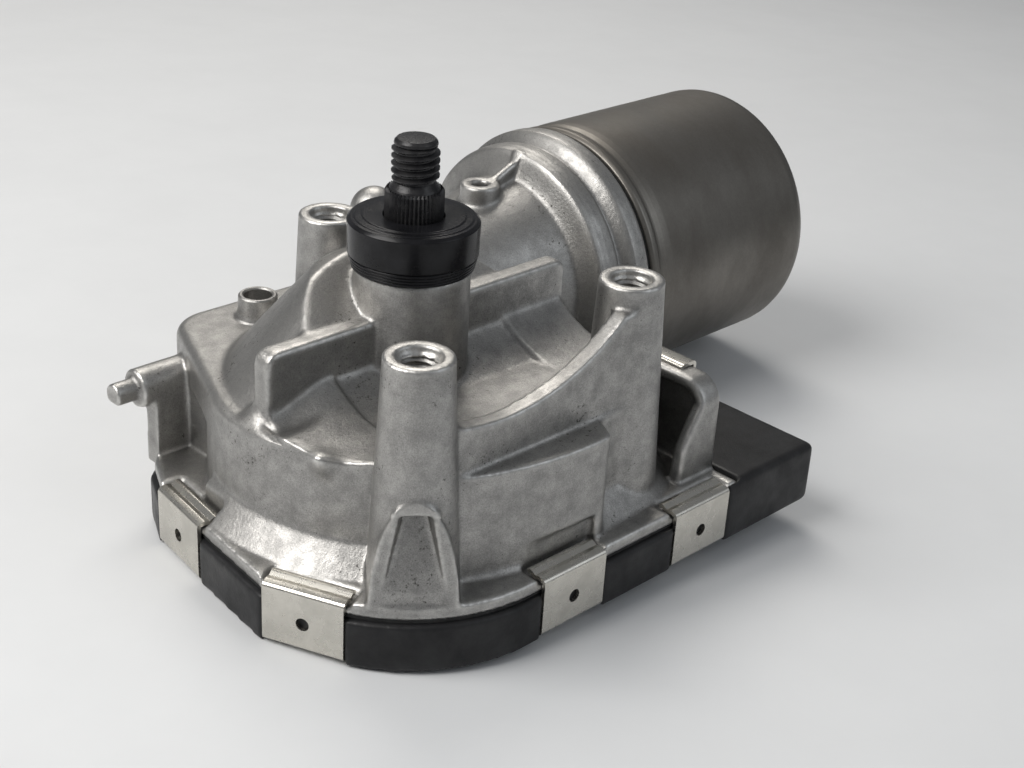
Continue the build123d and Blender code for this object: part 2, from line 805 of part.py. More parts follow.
def worm_thread():
    """One thread start, drawn on Z and turned to lie along the motor axis with a crest facing the wheel."""
    root_r = worm_pitch_r - tooth_root_depth
    tip_r = worm_pitch_r + tooth_module
    half_tip, half_root = tooth_halves()
    quarter = lead / 4
    start = quarter - worm_turns // 2 * lead
    path = Helix(lead, worm_turns * lead, worm_pitch_r)
    across = Plane(origin=path @ 0, x_dir=(1, 0, 0), z_dir=path % 0)
    sunk = root_r - worm_pitch_r - tooth_root_depth / 4
    profile = make_face(Polyline((sunk, -half_root), (tip_r - worm_pitch_r, -half_tip),
                                 (tip_r - worm_pitch_r, half_tip), (sunk, half_root), close=True))
    thread = sweep(across * profile, path=path, is_frenet=True)
    return Pos(start, centre_distance, motor_z) * Rot(0, 90, 0) * thread


def armature_shaft():
    """Steel shaft with the worm cut on it and a journal at each end."""
    root_r = worm_pitch_r - tooth_root_depth
    start = tunnel_end_x + button_t + end_play
    journal_end = start + worm_bush_length + journal_gap
    shoulder_x = front_bearing_x[0] - bearing_shoulder
    shaft = rod_x(worm_journal_r, start, journal_end)
    shaft += rod_x(root_r, journal_end, shoulder_x)
    shaft += rod_x(armature_r, shoulder_x, armature_end_x)
    return shaft + worm_thread()


def worm_bush():
    start = tunnel_end_x + button_t + end_play
    return ring_x(tunnel_r - round_gap, worm_journal_r + running_gap, start, start + worm_bush_length)


def thrust_button():
    return rod_x(tunnel_r - round_gap, tunnel_end_x, tunnel_end_x + button_t)


def front_bearing():
    return ring_x(front_bearing_r, armature_r + running_gap, *front_bearing_x)


def rear_bearing():
    return ring_x(rear_bearing_r, armature_r + running_gap, can_inner_end_x,
                  armature_end_x - rear_bearing_inset)


def bearing_retainer():
    """Sheet washer that holds the rear bearing in the can's boss."""
    return ring_x(retainer_r, armature_r + retainer_gap, can_inner_end_x - retainer_t, can_inner_end_x)


def armature_core():
    """Slotted stack."""
    core = ring_x(core_r, armature_r + round_gap, *core_x)
    bottom = core_r - slot_depth
    mouth = block(*core_x, -slot_mouth_w / 2, slot_mouth_w / 2, bottom, core_r)
    slot = mouth + block(*core_x, -slot_w / 2, slot_w / 2, bottom, core_r - slot_mouth_depth)
    for i in range(slot_count):
        core -= on_motor(360 / slot_count * i, slot)
    return core


def windings():
    """End turns on both sides of the stack."""
    near, far = core_x
    return [ring_x(coil_r, coil_inner_r, x, x + coil_length) for x in (near - coil_length, far)]


def commutator():
    return ring_x(commutator_r, armature_r + round_gap, *commutator_x)


def magnets():
    """Curved segments inside the can."""
    x0, x1 = core_x[0] - magnet_over, core_x[1] + magnet_over
    outer = CenterArc((0, 0), magnet_outer_r, -magnet_angle / 2, magnet_angle)
    inner = CenterArc((0, 0), magnet_outer_r - magnet_t, -magnet_angle / 2, magnet_angle)
    face = make_face(Curve() + [outer, Line(outer @ 1, inner @ 1), inner, Line(inner @ 0, outer @ 0)])
    segment = Pos(x0, 0, 0) * extrude(Plane.YZ * face, x1 - x0)
    return [on_motor(360 / magnet_count * (i + 0.5), segment) for i in range(magnet_count)]


def motor_can():
    """Drawn cup with a rounded end and a bearing boss."""
    edges = [
        Polyline((can_x, can_inner_r), (can_x, can_r), (can_end_x - can_round, can_r)),
        RadiusArc((can_end_x - can_round, can_r), (can_end_x, can_r - can_round), can_round),
        Polyline((can_end_x, can_r - can_round), (can_end_x, can_boss_r),
                 (can_boss_end_x, can_boss_r - can_boss_draft), (can_boss_end_x, 0),
                 (can_boss_end_x - can_wall, 0), (can_boss_end_x - can_wall, pocket_r),
                 (can_inner_end_x, pocket_r), (can_inner_end_x, can_inner_r), (can_x, can_inner_r)),
    ]
    return turned_x(*edges)


def brush_plate():
    """Moulded disc with a channel round each brush."""
    plate = ring_x(spigot_bore_r - round_gap, brush_plate_hole_r, *brush_plate_x)
    outer = brush_w / 2 + brush_guide_t + seat_gap
    inner = brush_w / 2 + seat_gap
    for angle in brush_angles:
        guide = block(brush_plate_x[1], brush_x[1] + brush_guide_t + seat_gap, -outer, outer,
                      brush_guide_r, brush_stop_r)
        hole = block(brush_x[0] - seat_gap, brush_x[1] + seat_gap, -inner, inner,
                     brush_guide_r, brush_stop_r)
        stop = block(brush_plate_x[1], brush_x[1], -outer, outer, brush_stop_r, brush_stop_r + brush_stop_t)
        plate += on_motor(angle, guide - hole + stop)
    return plate


def carbon_brushes():
    group = []
    for angle in brush_angles:
        brush = block(*brush_x, -brush_w / 2, brush_w / 2, commutator_r + seat_gap, brush_outer_r)
        group.append(on_motor(angle, brush))
    return group


def brush_springs():
    """Spring behind each brush, drawn as its tube."""
    group = []
    middle = (brush_x[0] + brush_x[1]) / 2
    for angle in brush_angles:
        tube = rod_z(spring_r, brush_outer_r, brush_stop_r, (middle, 0))
        tube -= rod_z(spring_r - spring_wire, brush_outer_r, brush_stop_r, (middle, 0))
        group.append(on_motor(angle, tube))
    return group


def chokes():
    """Two suppressor coils standing on the brush plate."""
    x0 = brush_plate_x[0] - choke_length
    group = []
    for angle in choke_angles:
        coil = Pos(x0 + choke_length / 2, 0, choke_offset) * Rot(0, 90, 0) * Cylinder(choke_r, choke_length)
        group.append(on_motor(angle, coil))
    return group


def pin_rows():
    """Y of each connector terminal."""
    y0, y1 = connector_y
    span = y1 - y0 - 2 * (socket_wall + pin_w)
    step = span / pin_count
    return [y0 + socket_wall + pin_w + step * (i + 0.5) for i in range(pin_count)]


def housing_cover():
    """Black cover with the connector block on its right."""
    y0, y1 = connector_y
    cover = raised(joint_plan(cover_lip), 0, rim_z)
    cover -= raised(joint_plan(-cover_wall), cover_floor, rim_z)
    inside = raised(joint_plan(-cover_wall), cover_floor, connector_top_z)
    outside = raised(joint_plan(seat_gap), rim_z, connector_top_z)
    shell = block(right_x - cover_wall, connector_end_x, y0, y1, 0, connector_top_z)
    upper = shell.edges().group_by(Axis.Z)[-1].filter_by(Axis.X) + shell.edges().group_by(Axis.X)[-1]
    cover += fillet(upper, connector_round) - inside - outside
    socket_end = connector_end_x - socket_depth
    cover -= block(socket_end, connector_end_x, y0 + socket_wall, y1 - socket_wall, socket_wall,
                   connector_top_z - socket_wall)
    pin_z = board_z + board_t
    for y in pin_rows():
        room = pin_w / 2 + seat_gap
        cover -= block(right_x - 2 * cover_wall, socket_end, y - room, y + room, pin_z - seat_gap,
                       pin_z + pin_t + seat_gap)
    for place in board_posts:
        cover += rod_z(board_post_r, cover_floor, board_z, place)
    for seat in clip_seats:
        cover -= at_seat(seat, clip_cover_room())
    return cover


def cover_gasket():
    ring = raised(joint_plan(-gasket_inset), rim_z, parting_z)
    return ring - raised(joint_plan(-gasket_inset - gasket_w), rim_z, parting_z)


def cover_clips():
    return [at_seat(seat, clip()) for seat in clip_seats]


def wall_clip():
    """Sheet hook over the top of the end wall."""
    inner, outer = right_x - end_wall_t - seat_gap, right_x + seat_gap
    top = end_wall_top_z + seat_gap
    hook = block(outer, outer + wall_clip_t, *wall_clip_y, top - wall_clip_leg, top + wall_clip_t)
    hook += block(inner - wall_clip_t, outer, *wall_clip_y, top, top + wall_clip_t)
    return hook + block(inner - wall_clip_t, inner, *wall_clip_y, top - wall_clip_leg / 3, top)


def circuit_board():
    return raised(joint_plan(-board_inset), board_z, board_z + board_t)


def board_components():
    """Relays, capacitor and the sensor chip under the shaft's magnet."""
    top = board_z + board_t
    group = []
    for x, y in relay_places:
        group.append(Pos(x, y, top + relay_size[2] / 2) * Box(*relay_size))
    group.append(rod_z(capacitor_r, top, top + capacitor_h, capacitor_place))
    group.append(Pos(0, 0, top + chip_size[2] / 2) * Box(*chip_size))
    return group


def connector_terminals():
    """Flat terminals from the board into the socket."""
    z0 = board_z + board_t
    start = right_x - board_inset - pin_overlap
    return [block(start, connector_end_x - pin_inset, y - pin_w / 2, y + pin_w / 2, z0, z0 + pin_t)
            for y in pin_rows()]


def save(maker):
    """Writes one sub-part, or a group of like solids, under its function's name."""
    shape = maker()
    if isinstance(shape, list):
        shape = Compound(children=shape)
    export_step(shape, os.path.join("parts", maker.__name__ + ".step"))


os.makedirs("parts", exist_ok=True)
for piece in (gear_housing, motor_can, output_shaft, shaft_cap, housing_cover, cover_clips, wall_clip,
              worm_wheel, armature_shaft, armature_core, windings, commutator, brush_plate, carbon_brushes,
              brush_springs, chokes, magnets, front_bearing, rear_bearing, bearing_retainer, worm_bush,
              thrust_button, lower_bush, upper_bush, thrust_washer, retaining_ring, shaft_seal,
              sensor_magnet, cover_gasket, circuit_board, board_components, connector_terminals):
    save(piece)
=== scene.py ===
import json
import math

import bmesh
import bpy
import numpy as np
from bpy.props import FloatProperty, FloatVectorProperty, IntProperty, PointerProperty
from bpy.types import Operator, Panel, PropertyGroup
from mathutils import Matrix, Vector, kdtree


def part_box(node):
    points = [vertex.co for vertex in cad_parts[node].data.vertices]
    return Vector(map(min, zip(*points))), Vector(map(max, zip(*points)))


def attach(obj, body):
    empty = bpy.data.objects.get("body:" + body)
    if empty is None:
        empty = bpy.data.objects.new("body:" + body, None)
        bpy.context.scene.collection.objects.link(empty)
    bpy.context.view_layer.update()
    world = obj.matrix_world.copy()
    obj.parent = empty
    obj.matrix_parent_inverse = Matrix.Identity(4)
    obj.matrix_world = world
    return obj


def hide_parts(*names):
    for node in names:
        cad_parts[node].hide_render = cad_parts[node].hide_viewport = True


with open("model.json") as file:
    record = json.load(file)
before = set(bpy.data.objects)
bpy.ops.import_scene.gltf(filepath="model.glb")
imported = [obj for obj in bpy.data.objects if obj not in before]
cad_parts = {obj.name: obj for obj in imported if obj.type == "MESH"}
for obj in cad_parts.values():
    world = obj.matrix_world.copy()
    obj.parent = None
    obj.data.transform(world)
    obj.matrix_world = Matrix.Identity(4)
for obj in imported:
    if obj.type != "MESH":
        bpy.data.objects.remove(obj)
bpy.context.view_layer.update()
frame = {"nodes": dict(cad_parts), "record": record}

bl_info = {
    "name": "Wiper motor",
    "version": (1, 0, 0),
    "blender": (4, 5, 0),
    "location": "3D View > Sidebar > Wiper motor",
    "description": "Dresses the packed wiper motor with its castings, sheet parts and finishes",
    "category": "Object",
}

MM = 0.001
MOTOR_Y, MOTOR_Z = 33.0 * MM, 22.6 * MM
# Neck and bead outlines as (place along the motor axis, radius) in millimetres
NECK_BEFORE = ((53.0, 20.04), (54.0, 20.49), (55.0, 21.09), (56.0, 21.97), (57.0, 23.39), (58.0, 24.97),
               (59.0, 25.83), (60.5, 26.2))
NECK_AFTER = ((53.0, 20.04), (54.0, 20.3), (55.0, 20.6), (55.6, 21.1), (56.2, 22.6), (57.0, 25.0),
              (57.5, 25.65), (58.3, 25.95), (60.5, 26.2))
BEAD_AFTER = ((62.9, 25.5), (63.5, 25.7), (64.2, 26.8), (65.0, 27.6), (65.7, 28.0))
BEAD_INNER_R = 24.6
CAN_GAP_X, CAN_GAP_R = 69.1, 26.7
DECK_BOSS = Vector((-7.5 * MM, 33.0 * MM))
POSTS = [Vector(m["pos_m"]) for m in frame["record"]["mounts"] if m["kind"] == "threaded_hole"]
# Clip seats as (facing in degrees, distance from the shaft, shift along the joint) in millimetres
CLIP_SEATS = ((-90.0, 41.3, 0.4), (-90.0, 41.3, -31.6), (-156.4, 43.3, -3.1), (172.6, 39.65, 8.25),
              (90.0, 46.0, -1.0), (0.0, 42.0, -1.5))
# Stations of the ramp at the rib's foot as (y, top, bend x, bend height) in millimetres
RIB_FOOT = ((-8.5, 29.4, -32.8, 29.4), (-6.0, 30.0, -33.2, 29.8), (-4.0, 31.0, -33.2, 30.4),
            (-2.4, 32.3, -33.2, 30.9), (-1.4, 34.5, -32.8, 31.2), (1.8, 34.5, -32.6, 31.4),
            (3.0, 32.0, -32.4, 30.6), (4.6, 30.1, -32.0, 30.0))
# Arch over the foot pad's pocket as (side, height) in millimetres
PAD_ARCH = ((-3.9, 27.0), (-3.0, 28.2), (-1.6, 29.1), (0.0, 29.5), (1.6, 29.1), (3.0, 28.2), (3.9, 27.0))
# Lamps as name, place, width, power and colour
LAMPS = (("Key", (-0.42, 0.16, 0.52), 0.50, 4.2, (1.0, 0.98, 0.95)),
         ("Fill", (0.30, -0.55, 0.40), 0.60, 0.8, (0.90, 0.95, 1.0)),
         ("Back", (0.34, 0.46, 0.66), 0.45, 2.4, (1.0, 0.96, 0.90)))
LAMP_AIM = Vector((0.03, 0.01, 0.02))
SKY_STRENGTH = 0.36
MERGE_REACH = 0.001 * MM
TINY = 1e-7


def size(name, description, value):
    """Length setting, its default given in millimetres."""
    return FloatProperty(name=name, description=description, default=value * MM, unit="LENGTH", precision=5)


def count(name, description, value, low=0):
    """Whole-number setting."""
    return IntProperty(name=name, description=description, default=value, min=low)


def angle(name, description, value):
    """Angle setting, its default given in degrees."""
    return FloatProperty(name=name, description=description, default=math.radians(value), subtype="ANGLE")


def tint(name, description, value):
    """Colour setting."""
    return FloatVectorProperty(name=name, description=description, default=value, size=3, subtype="COLOR",
                               min=0.0, max=1.0)


class CastingSettings(PropertyGroup):
    """Gear casting: mesh, rounding and colours."""
    voxel: size("Mesh size", "Edge of the cast skin's mesh before it is thinned", 0.42)
    passes: count("Rounding", "Passes that round the cast edges", 9)
    foot_passes: count("Foot rounding", "Extra passes at the long rib's foot", 30)
    triangles: count("Triangles", "Triangles left in the skin", 190000, 1000)
    bore_r: size("Bore radius", "Crest radius of the thread in the posts", 2.5)
    bore_depth: size("Thread depth", "Depth of the thread's groove", 0.45)
    bore_pitch: size("Thread pitch", "Pitch of the thread in the posts", 1.0)
    bore_turns: count("Thread turns", "Turns that show in each post", 9, 1)
    mouth_depth: size("Mouth depth", "Depth of the plain mouth above the thread", 1.4)
    post_top: size("Post top", "Height of the posts' machined tops", 50.67)
    rim_r: size("Rim radius", "Outer radius of the gear chamber", 34.5)
    deck_z: size("Deck height", "Height of the chamber's deck", 30.0)
    rib_x: size("Rib end", "Distance of the long rib's end from the shaft", 31.5)
    rib_top: size("Rib height", "Height of the long rib", 42.3)
    boss_r: size("Deck boss radius", "Radius of the locating boss on the deck", 3.6)
    boss_hole_r: size("Deck boss hole", "Radius of the locating boss's hole", 2.55)
    boss_top: size("Deck boss top", "Height of the locating boss", 34.6)
    dark: tint("Cast grey", "Dull patches of the casting", (0.33, 0.325, 0.315))
    light: tint("Cast silver", "Bright patches of the casting", (0.46, 0.45, 0.435))
    # Edge tint: painted highlight on the casting's convex edges, and the real bright colour of its machined
    # faces.
    edge: tint("Painted highlight tint", "Painted highlight on edges, and machined faces", (0.68, 0.67, 0.645))
    pore: tint("Pores", "Dirt in the skin's pores", (0.085, 0.080, 0.075))


class ShaftSettings(PropertyGroup):
    """Output shaft: thread and serrations."""
    thread_r: size("Thread radius", "Outer radius of the thread", 4.0)
    thread_depth: size("Thread depth", "Height of the thread's ridge", 0.72)
    pitch: size("Pitch", "Pitch of the thread", 1.25)
    turns: count("Turns", "Turns of the thread", 5, 1)
    thread_z: size("Thread foot", "Height where the thread starts", 64.2)
    top_z: size("Tip", "Height of the shaft's tip", 71.5)
    cone_z: size("Cone foot", "Height where the serrated cone leaves the cap", 58.4)
    cone_h: size("Cone height", "Height of the serrated cone", 4.8)
    cone_low_r: size("Cone radius", "Radius at the cone's foot", 5.0)
    cone_high_r: size("Cone top radius", "Radius at the cone's top", 4.75)
    serrations: count("Serrations", "Serrations round the cone", 44, 8)
    serration_depth: size("Serration depth", "Depth of the serrations", 0.42)
    serration_tip: size("Serration tip", "Height over which a serration runs out", 0.6)
    black: tint("Black steel", "Blackened steel", (0.012, 0.012, 0.014))
    grey: tint("Rubbed steel", "Blackened steel where it is rubbed", (0.042, 0.041, 0.042))


class CapSettings(PropertyGroup):
    """Black collar over the barrel."""
    radius: size("Rim radius", "Radius of the rim", 11.1)
    top_z: size("Top", "Height of the cap's top", 58.4)
    rim_h: size("Rim height", "Height of the rim", 6.6)
    foot_z: size("Foot", "Height of the cap's foot", 49.6)
    hole_r: size("Hole radius", "Hole for the shaft", 5.08)
    inner_r: size("Inner radius", "Radius of the seat on the barrel", 8.9)
    ceiling_z: size("Ceiling", "Height of the cap's inner face", 56.0)
    ring_count: count("Rings", "Rings below the rim", 4, 1)
    ring_r: size("Ring thickness", "Radius of one ring's section", 0.34)
    black: tint("Cap black", "Moulded black", (0.006, 0.006, 0.007))
    grey: tint("Cap grey", "Dust and handling on the black", (0.014, 0.014, 0.016))


class CanSettings(PropertyGroup):
    """Drawn motor can."""
    radius: size("Radius", "Outer radius of the can", 27.7)
    wall: size("Wall", "Sheet thickness", 1.8)
    start_x: size("Mouth", "Place of the can's mouth along the motor axis", 70.0)
    end_x: size("End", "Place of the can's end", 123.2)
    end_round: size("End round", "Radius round the end", 5.0)
    boss_r: size("Boss radius", "Radius of the bearing boss", 8.8)
    boss_h: size("Boss height", "Height of the bearing boss", 4.0)
    pocket_r: size("Pocket radius", "Radius of the bearing's pocket", 6.7)
    dark: tint("Can brown", "Dull brown grey of the can", (0.150, 0.139, 0.124))
    light: tint("Can grey", "Lighter grey of the can", (0.225, 0.213, 0.194))


class CoverSettings(PropertyGroup):
    """Plastic cover with its connector block."""
    voxel: size("Mesh size", "Edge of the cover's mesh before it is thinned", 0.45)
    passes: count("Rounding", "Passes that round the moulded edges", 10)
    triangles: count("Triangles", "Triangles left in the cover", 90000, 1000)
    black: tint("Cover black", "Moulded black", (0.009, 0.009, 0.010))
    grey: tint("Cover grey", "Dust on the black", (0.021, 0.021, 0.022))


class ClipSettings(PropertyGroup):
    """Spring clips round the cover and the hook on the end wall."""
    width: size("Width", "Width of a clip", 14.3)
    sheet: size("Sheet", "Sheet thickness", 0.7)
    lip: size("Lip", "Reach of the lip over the flange", 3.4)
    outer: size("Outer", "Outer face in front of the seat", 0.8)
    lip_z: size("Lip height", "Underside of the lip", 10.4)
    foot_z: size("Foot height", "Underside of the foot", 0.5)
    ridge: size("Ridge", "Height of the lip's rolled ridge", 0.6)
    bend: size("Bend", "Radius of the bends", 0.55)
    hole_r: size("Hole radius", "Radius of the hole", 1.15)
    dark: tint("Clip steel", "Rolled spring steel", (0.56, 0.54, 0.49))
    light: tint("Clip bright", "Bright spring steel", (0.66, 0.635, 0.58))


class StageSettings(PropertyGroup):
    """Camera, floor and lights."""
    azimuth: angle("Azimuth", "Direction of the view round Z", 44.108)
    pitch: angle("Pitch", "How far the view looks down", 26.551)
    roll: angle("Roll", "Tilt of the picture", 3.511)
    lens: FloatProperty(name="Lens", description="Focal length in millimetres", default=58.36)
    eye: FloatVectorProperty(name="Eye", description="Place of the camera", size=3, subtype="XYZ",
                             unit="LENGTH", default=(-171.324 * MM, -190.791 * MM, 156.144 * MM))
    floor_slope: FloatProperty(name="Floor slope", description="Fall of the floor along the motor axis",
                               default=0.049)
    floor_start: size("Floor start", "Place along the motor axis where the part touches the floor", -42.2)
    floor: tint("Floor", "Pale floor", (0.72, 0.73, 0.74))
    sky: tint("Sky", "Soft light from all round", (0.62, 0.64, 0.67))


def node(tree, kind, inputs=None, **settings):
    """Adds a node, sets its settings, and fills its inputs with values or links."""
    made = tree.nodes.new(kind)
    for name, value in settings.items():
        setattr(made, name, value)
    for key, value in (inputs or {}).items():
        if isinstance(value, bpy.types.NodeSocket):
            tree.links.new(value, made.inputs[key])
        else:
            made.inputs[key].default_value = value
    return made


def made_by(tree, kind, inputs=None, **settings):
    """Adds a node and gives its first output."""
    return node(tree, kind, inputs, **settings).outputs[0]


def math_node(tree, operation, first, second=0.0, clamp=False):
    """Result of a sum on two numbers or sockets."""
    return made_by(tree, "ShaderNodeMath", {0: first, 1: second}, operation=operation, use_clamp=clamp)


def mixed(tree, mask, first, second):
    """Colour between two colours by a mask."""
    made = node(tree, "ShaderNodeMix", data_type="RGBA")
    for index, value in ((0, mask), (6, first), (7, second)):
        if isinstance(value, bpy.types.NodeSocket):
            tree.links.new(value, made.inputs[index])
        else:
            made.inputs[index].default_value = (*value, 1.0) if index else value
    return made.outputs[2]


def ranged(tree, value, low, high, from_low=0.0, from_high=1.0):
    """Value carried from one range to another."""
    return made_by(tree, "ShaderNodeMapRange", {"Value": value, "From Min": from_low, "From Max": from_high,
                                                "To Min": low, "To Max": high})


def effect(name, inputs, output):
    """New shader group with a vector, named numbers and one output."""
    tree = bpy.data.node_groups.new(name, "ShaderNodeTree")
    tree.interface.new_socket("Vector", in_out="INPUT", socket_type="NodeSocketVector")
    for label in inputs:
        tree.interface.new_socket(label, in_out="INPUT", socket_type="NodeSocketFloat")
    tree.interface.new_socket(output, in_out="OUTPUT", socket_type="NodeSocketFloat")
    return tree, tree.nodes.new("NodeGroupInput").outputs, tree.nodes.new("NodeGroupOutput").inputs


def noise(tree, vector, scale, detail=3.0, rough=0.55):
    """Noise from 0 to 1."""
    return made_by(tree, "ShaderNodeTexNoise", {"Vector": vector, "Scale": scale, "Detail": detail,
                                                "Roughness": rough})


def make_effects():
    """Groups that the finishes share: mottling, grain, pores and a painted edge highlight."""
    tree, put, out = effect("Mottling", ["Scale"], "Mask")
    patches = noise(tree, put["Vector"], put["Scale"], 5.0, 0.6)
    tree.links.new(ranged(tree, patches, 0.0, 1.0, 0.34, 0.66), out["Mask"])

    tree, put, out = effect("Skin grain", ["Scale"], "Height")
    coarse = noise(tree, put["Vector"], put["Scale"], 2.0)
    fine = noise(tree, put["Vector"], math_node(tree, "MULTIPLY", put["Scale"], 3.7), 2.0)
    tree.links.new(math_node(tree, "ADD", coarse, math_node(tree, "MULTIPLY", fine, 0.6)), out["Height"])

    tree, put, out = effect("Pores", ["Scale", "Amount"], "Mask")
    dots = noise(tree, put["Vector"], put["Scale"], 3.0, 0.7)
    where = noise(tree, put["Vector"], math_node(tree, "MULTIPLY", put["Scale"], 0.07), 3.0)
    level = math_node(tree, "ADD", dots, math_node(tree, "MULTIPLY", where, 0.55))
    edge = math_node(tree, "SUBTRACT", 1.12, put["Amount"])
    over = math_node(tree, "SUBTRACT", level, edge)
    tree.links.new(math_node(tree, "MULTIPLY", over, 9.0, True), out["Mask"])

    # Painted highlight: a vertex attribute lightens convex edges, broken up by noise; machined faces share it
    # for their real brightness.
    tree, put, out = effect("Edge highlight mask", ["Scale"], "Mask")
    bend = node(tree, "ShaderNodeAttribute", attribute_name="edge_highlight").outputs["Fac"]
    broken = ranged(tree, noise(tree, put["Vector"], put["Scale"], 4.0), 0.45, 1.25, 0.3, 0.7)
    tree.links.new(math_node(tree, "MULTIPLY", bend, broken, True), out["Mask"])


def use(tree, name, vector, **numbers):
    """Places a shared effect and gives its output."""
    made = node(tree, "ShaderNodeGroup", node_tree=bpy.data.node_groups[name])
    tree.links.new(vector, made.inputs["Vector"])
    for label, value in numbers.items():
        made.inputs[label].default_value = value
    return made.outputs[0]


def finish(name, dark, light, patches, gloss, metallic, grain=1500.0, bump=0.1, stretch=(1, 1, 1), pores=None,
           edge=None, speckle=0.0, shine=0.5):
    """Material with mottled colour and roughness and a fine grain; pores and a painted edge highlight where
    given.
    """
    fleck_scale, fleck_shade = 2.6, 0.35
    pore_scale, pore_rough, highlight_scale, highlight_gloss = 0.9, 0.25, 900.0, 0.12
    material = bpy.data.materials.new(name)
    material.use_nodes = True
    tree = material.node_tree
    shader = tree.nodes["Principled BSDF"]
    place = node(tree, "ShaderNodeTexCoord").outputs["Object"]
    if stretch != (1, 1, 1):
        place = made_by(tree, "ShaderNodeMapping", {"Vector": place, "Scale": stretch})
    patch = use(tree, "Mottling", place, Scale=patches)
    colour = mixed(tree, patch, dark, light)
    rough = ranged(tree, patch, gloss[1], gloss[0])
    if speckle:
        fleck = ranged(tree, noise(tree, place, fleck_scale * grain, 2.0, 0.8), 0.0, speckle, 0.35, 0.75)
        colour = mixed(tree, fleck, colour, [fleck_shade * c for c in dark])
    if pores:
        amount, shade = pores
        hole = use(tree, "Pores", place, Scale=grain * pore_scale, Amount=amount)
        colour = mixed(tree, hole, colour, shade)
        rough = math_node(tree, "ADD", rough, math_node(tree, "MULTIPLY", hole, pore_rough), True)
    # Painted highlight: convex edges take the lighter edge tint and less roughness; machined faces take the
    # tint as their own colour.
    if edge:
        highlight_weight = use(tree, "Edge highlight mask", place, Scale=highlight_scale)
        colour = mixed(tree, highlight_weight, colour, edge)
        rough = math_node(tree, "SUBTRACT", rough, math_node(tree, "MULTIPLY", highlight_weight, highlight_gloss), True)
    tree.links.new(colour, shader.inputs["Base Color"])
    tree.links.new(rough, shader.inputs["Roughness"])
    shader.inputs["Metallic"].default_value = metallic
    shader.inputs["Specular IOR Level"].default_value = shine
    if bump:
        height = use(tree, "Skin grain", place, Scale=grain)
        skin = made_by(tree, "ShaderNodeBump", {"Strength": bump, "Distance": 0.2 * MM, "Height": height})
        tree.links.new(skin, shader.inputs["Normal"])
    return material


def added(name, mesh):
    """Object at the origin that shows a mesh."""
    made = bpy.data.objects.new(name, mesh)
    bpy.context.scene.collection.objects.link(made)
    return made


def piece(name, mesh, material, slot, body, *nodes):
    """Finished piece on a body, in place of CAD nodes where they are named."""
    mesh.materials.clear()
    mesh.materials.append(material)
    made = added(name, mesh)
    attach(made, body)
    if nodes:
        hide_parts(*nodes)
    return made


def settled(carrier):
    """Plain mesh of an object with its modifiers applied; the object goes."""
    graph = bpy.context.evaluated_depsgraph_get()
    mesh = bpy.data.meshes.new_from_object(carrier.evaluated_get(graph), depsgraph=graph)
    bpy.data.objects.remove(carrier)
    return mesh


def modified(mesh, *steps):
    """Mesh after modifiers, each given as its kind and its settings."""
    carrier = added("work", mesh)
    for kind, settings in steps:
        modifier = carrier.modifiers.new(kind, kind)
        for name, value in settings.items():
            setattr(modifier, name, value)
    return settled(carrier)


def cad_copy(name):
    """Merged copy of a CAD node's mesh."""
    work = bmesh.new()
    work.from_mesh(frame["nodes"][name].data)
    bmesh.ops.remove_doubles(work, verts=work.verts, dist=MERGE_REACH)
    mesh = bpy.data.meshes.new(name + "_copy")
    work.to_mesh(mesh)
    work.free()
    return mesh


def points_of(mesh):
    """Places of a mesh's vertices."""
    flat = np.empty(len(mesh.vertices) * 3, np.float32)
    mesh.vertices.foreach_get("co", flat)
    return flat.reshape(-1, 3).astype(float)


def place_points(mesh, points):
    """Moves a mesh's vertices to new places."""
    mesh.vertices.foreach_set("co", points.astype(np.float32).ravel())
    mesh.update()


def normals_of(mesh):
    """Normals of a mesh's vertices."""
    flat = np.empty(len(mesh.vertices) * 3, np.float32)
    mesh.vertex_normals.foreach_get("vector", flat)
    return flat.reshape(-1, 3).astype(float)


def neighbour_mean(mesh, values):
    """Mean of each vertex's neighbours, for columns of values."""
    ends = np.empty(len(mesh.edges) * 2, np.int32)
    mesh.edges.foreach_get("vertices", ends)
    first, second = ends.reshape(-1, 2).T
    total = len(mesh.vertices)
    neighbours = np.maximum(np.bincount(first, minlength=total) + np.bincount(second, minlength=total), 1)
    columns = []
    for column in values.T:
        added_up = np.bincount(first, column[second], total) + np.bincount(second, column[first], total)
        columns.append(added_up / neighbours)
    return np.stack(columns, 1)


def relax(mesh, weight, passes):
    """Rounds a mesh by moving each vertex towards its neighbours, as far as its weight says."""
    points = points_of(mesh)
    for _ in range(passes):
        points += 0.5 * weight[:, None] * (neighbour_mean(mesh, points) - points)
    place_points(mesh, points)


def outward_bend(mesh, passes=2):
    """How sharply each vertex stands out of its neighbours, from 0 to 1."""
    points = points_of(mesh)
    bend = -((neighbour_mean(mesh, points) - points) * normals_of(mesh)).sum(1)[:, None]
    for _ in range(passes):
        bend = 0.5 * (bend + neighbour_mean(mesh, bend))
    sharpest = 0.055 * MM
    return np.clip(bend[:, 0] / sharpest, 0.0, 1.0)


def keep_values(mesh, name, values):
    """Keeps one number for each vertex as a named attribute."""
    layer = mesh.attributes.new(name, "FLOAT", "POINT")
    layer.data.foreach_set("value", values.astype(np.float32))


def nearest_values(source, values, mesh):
    """Values of one mesh carried to the nearest vertices of another."""
    points = points_of(source)
    tree = kdtree.KDTree(len(points))
    for index, point in enumerate(points):
        tree.insert(point, index)
    tree.balance()
    return np.array([values[tree.find(point)[1]] for point in points_of(mesh)])


def smooth(mesh, turn=40.0):
    """Smooth shading, with edges sharper than a turn kept."""
    mesh.shade_smooth()
    mesh.set_sharp_from_angle(angle=math.radians(turn))
    return mesh


def thinned(mesh, triangles):
    """Mesh with at most a number of triangles."""
    before = sum(len(face.vertices) - 2 for face in mesh.polygons)
    return modified(mesh, ("DECIMATE", {"ratio": min(1.0, triangles / before)}))


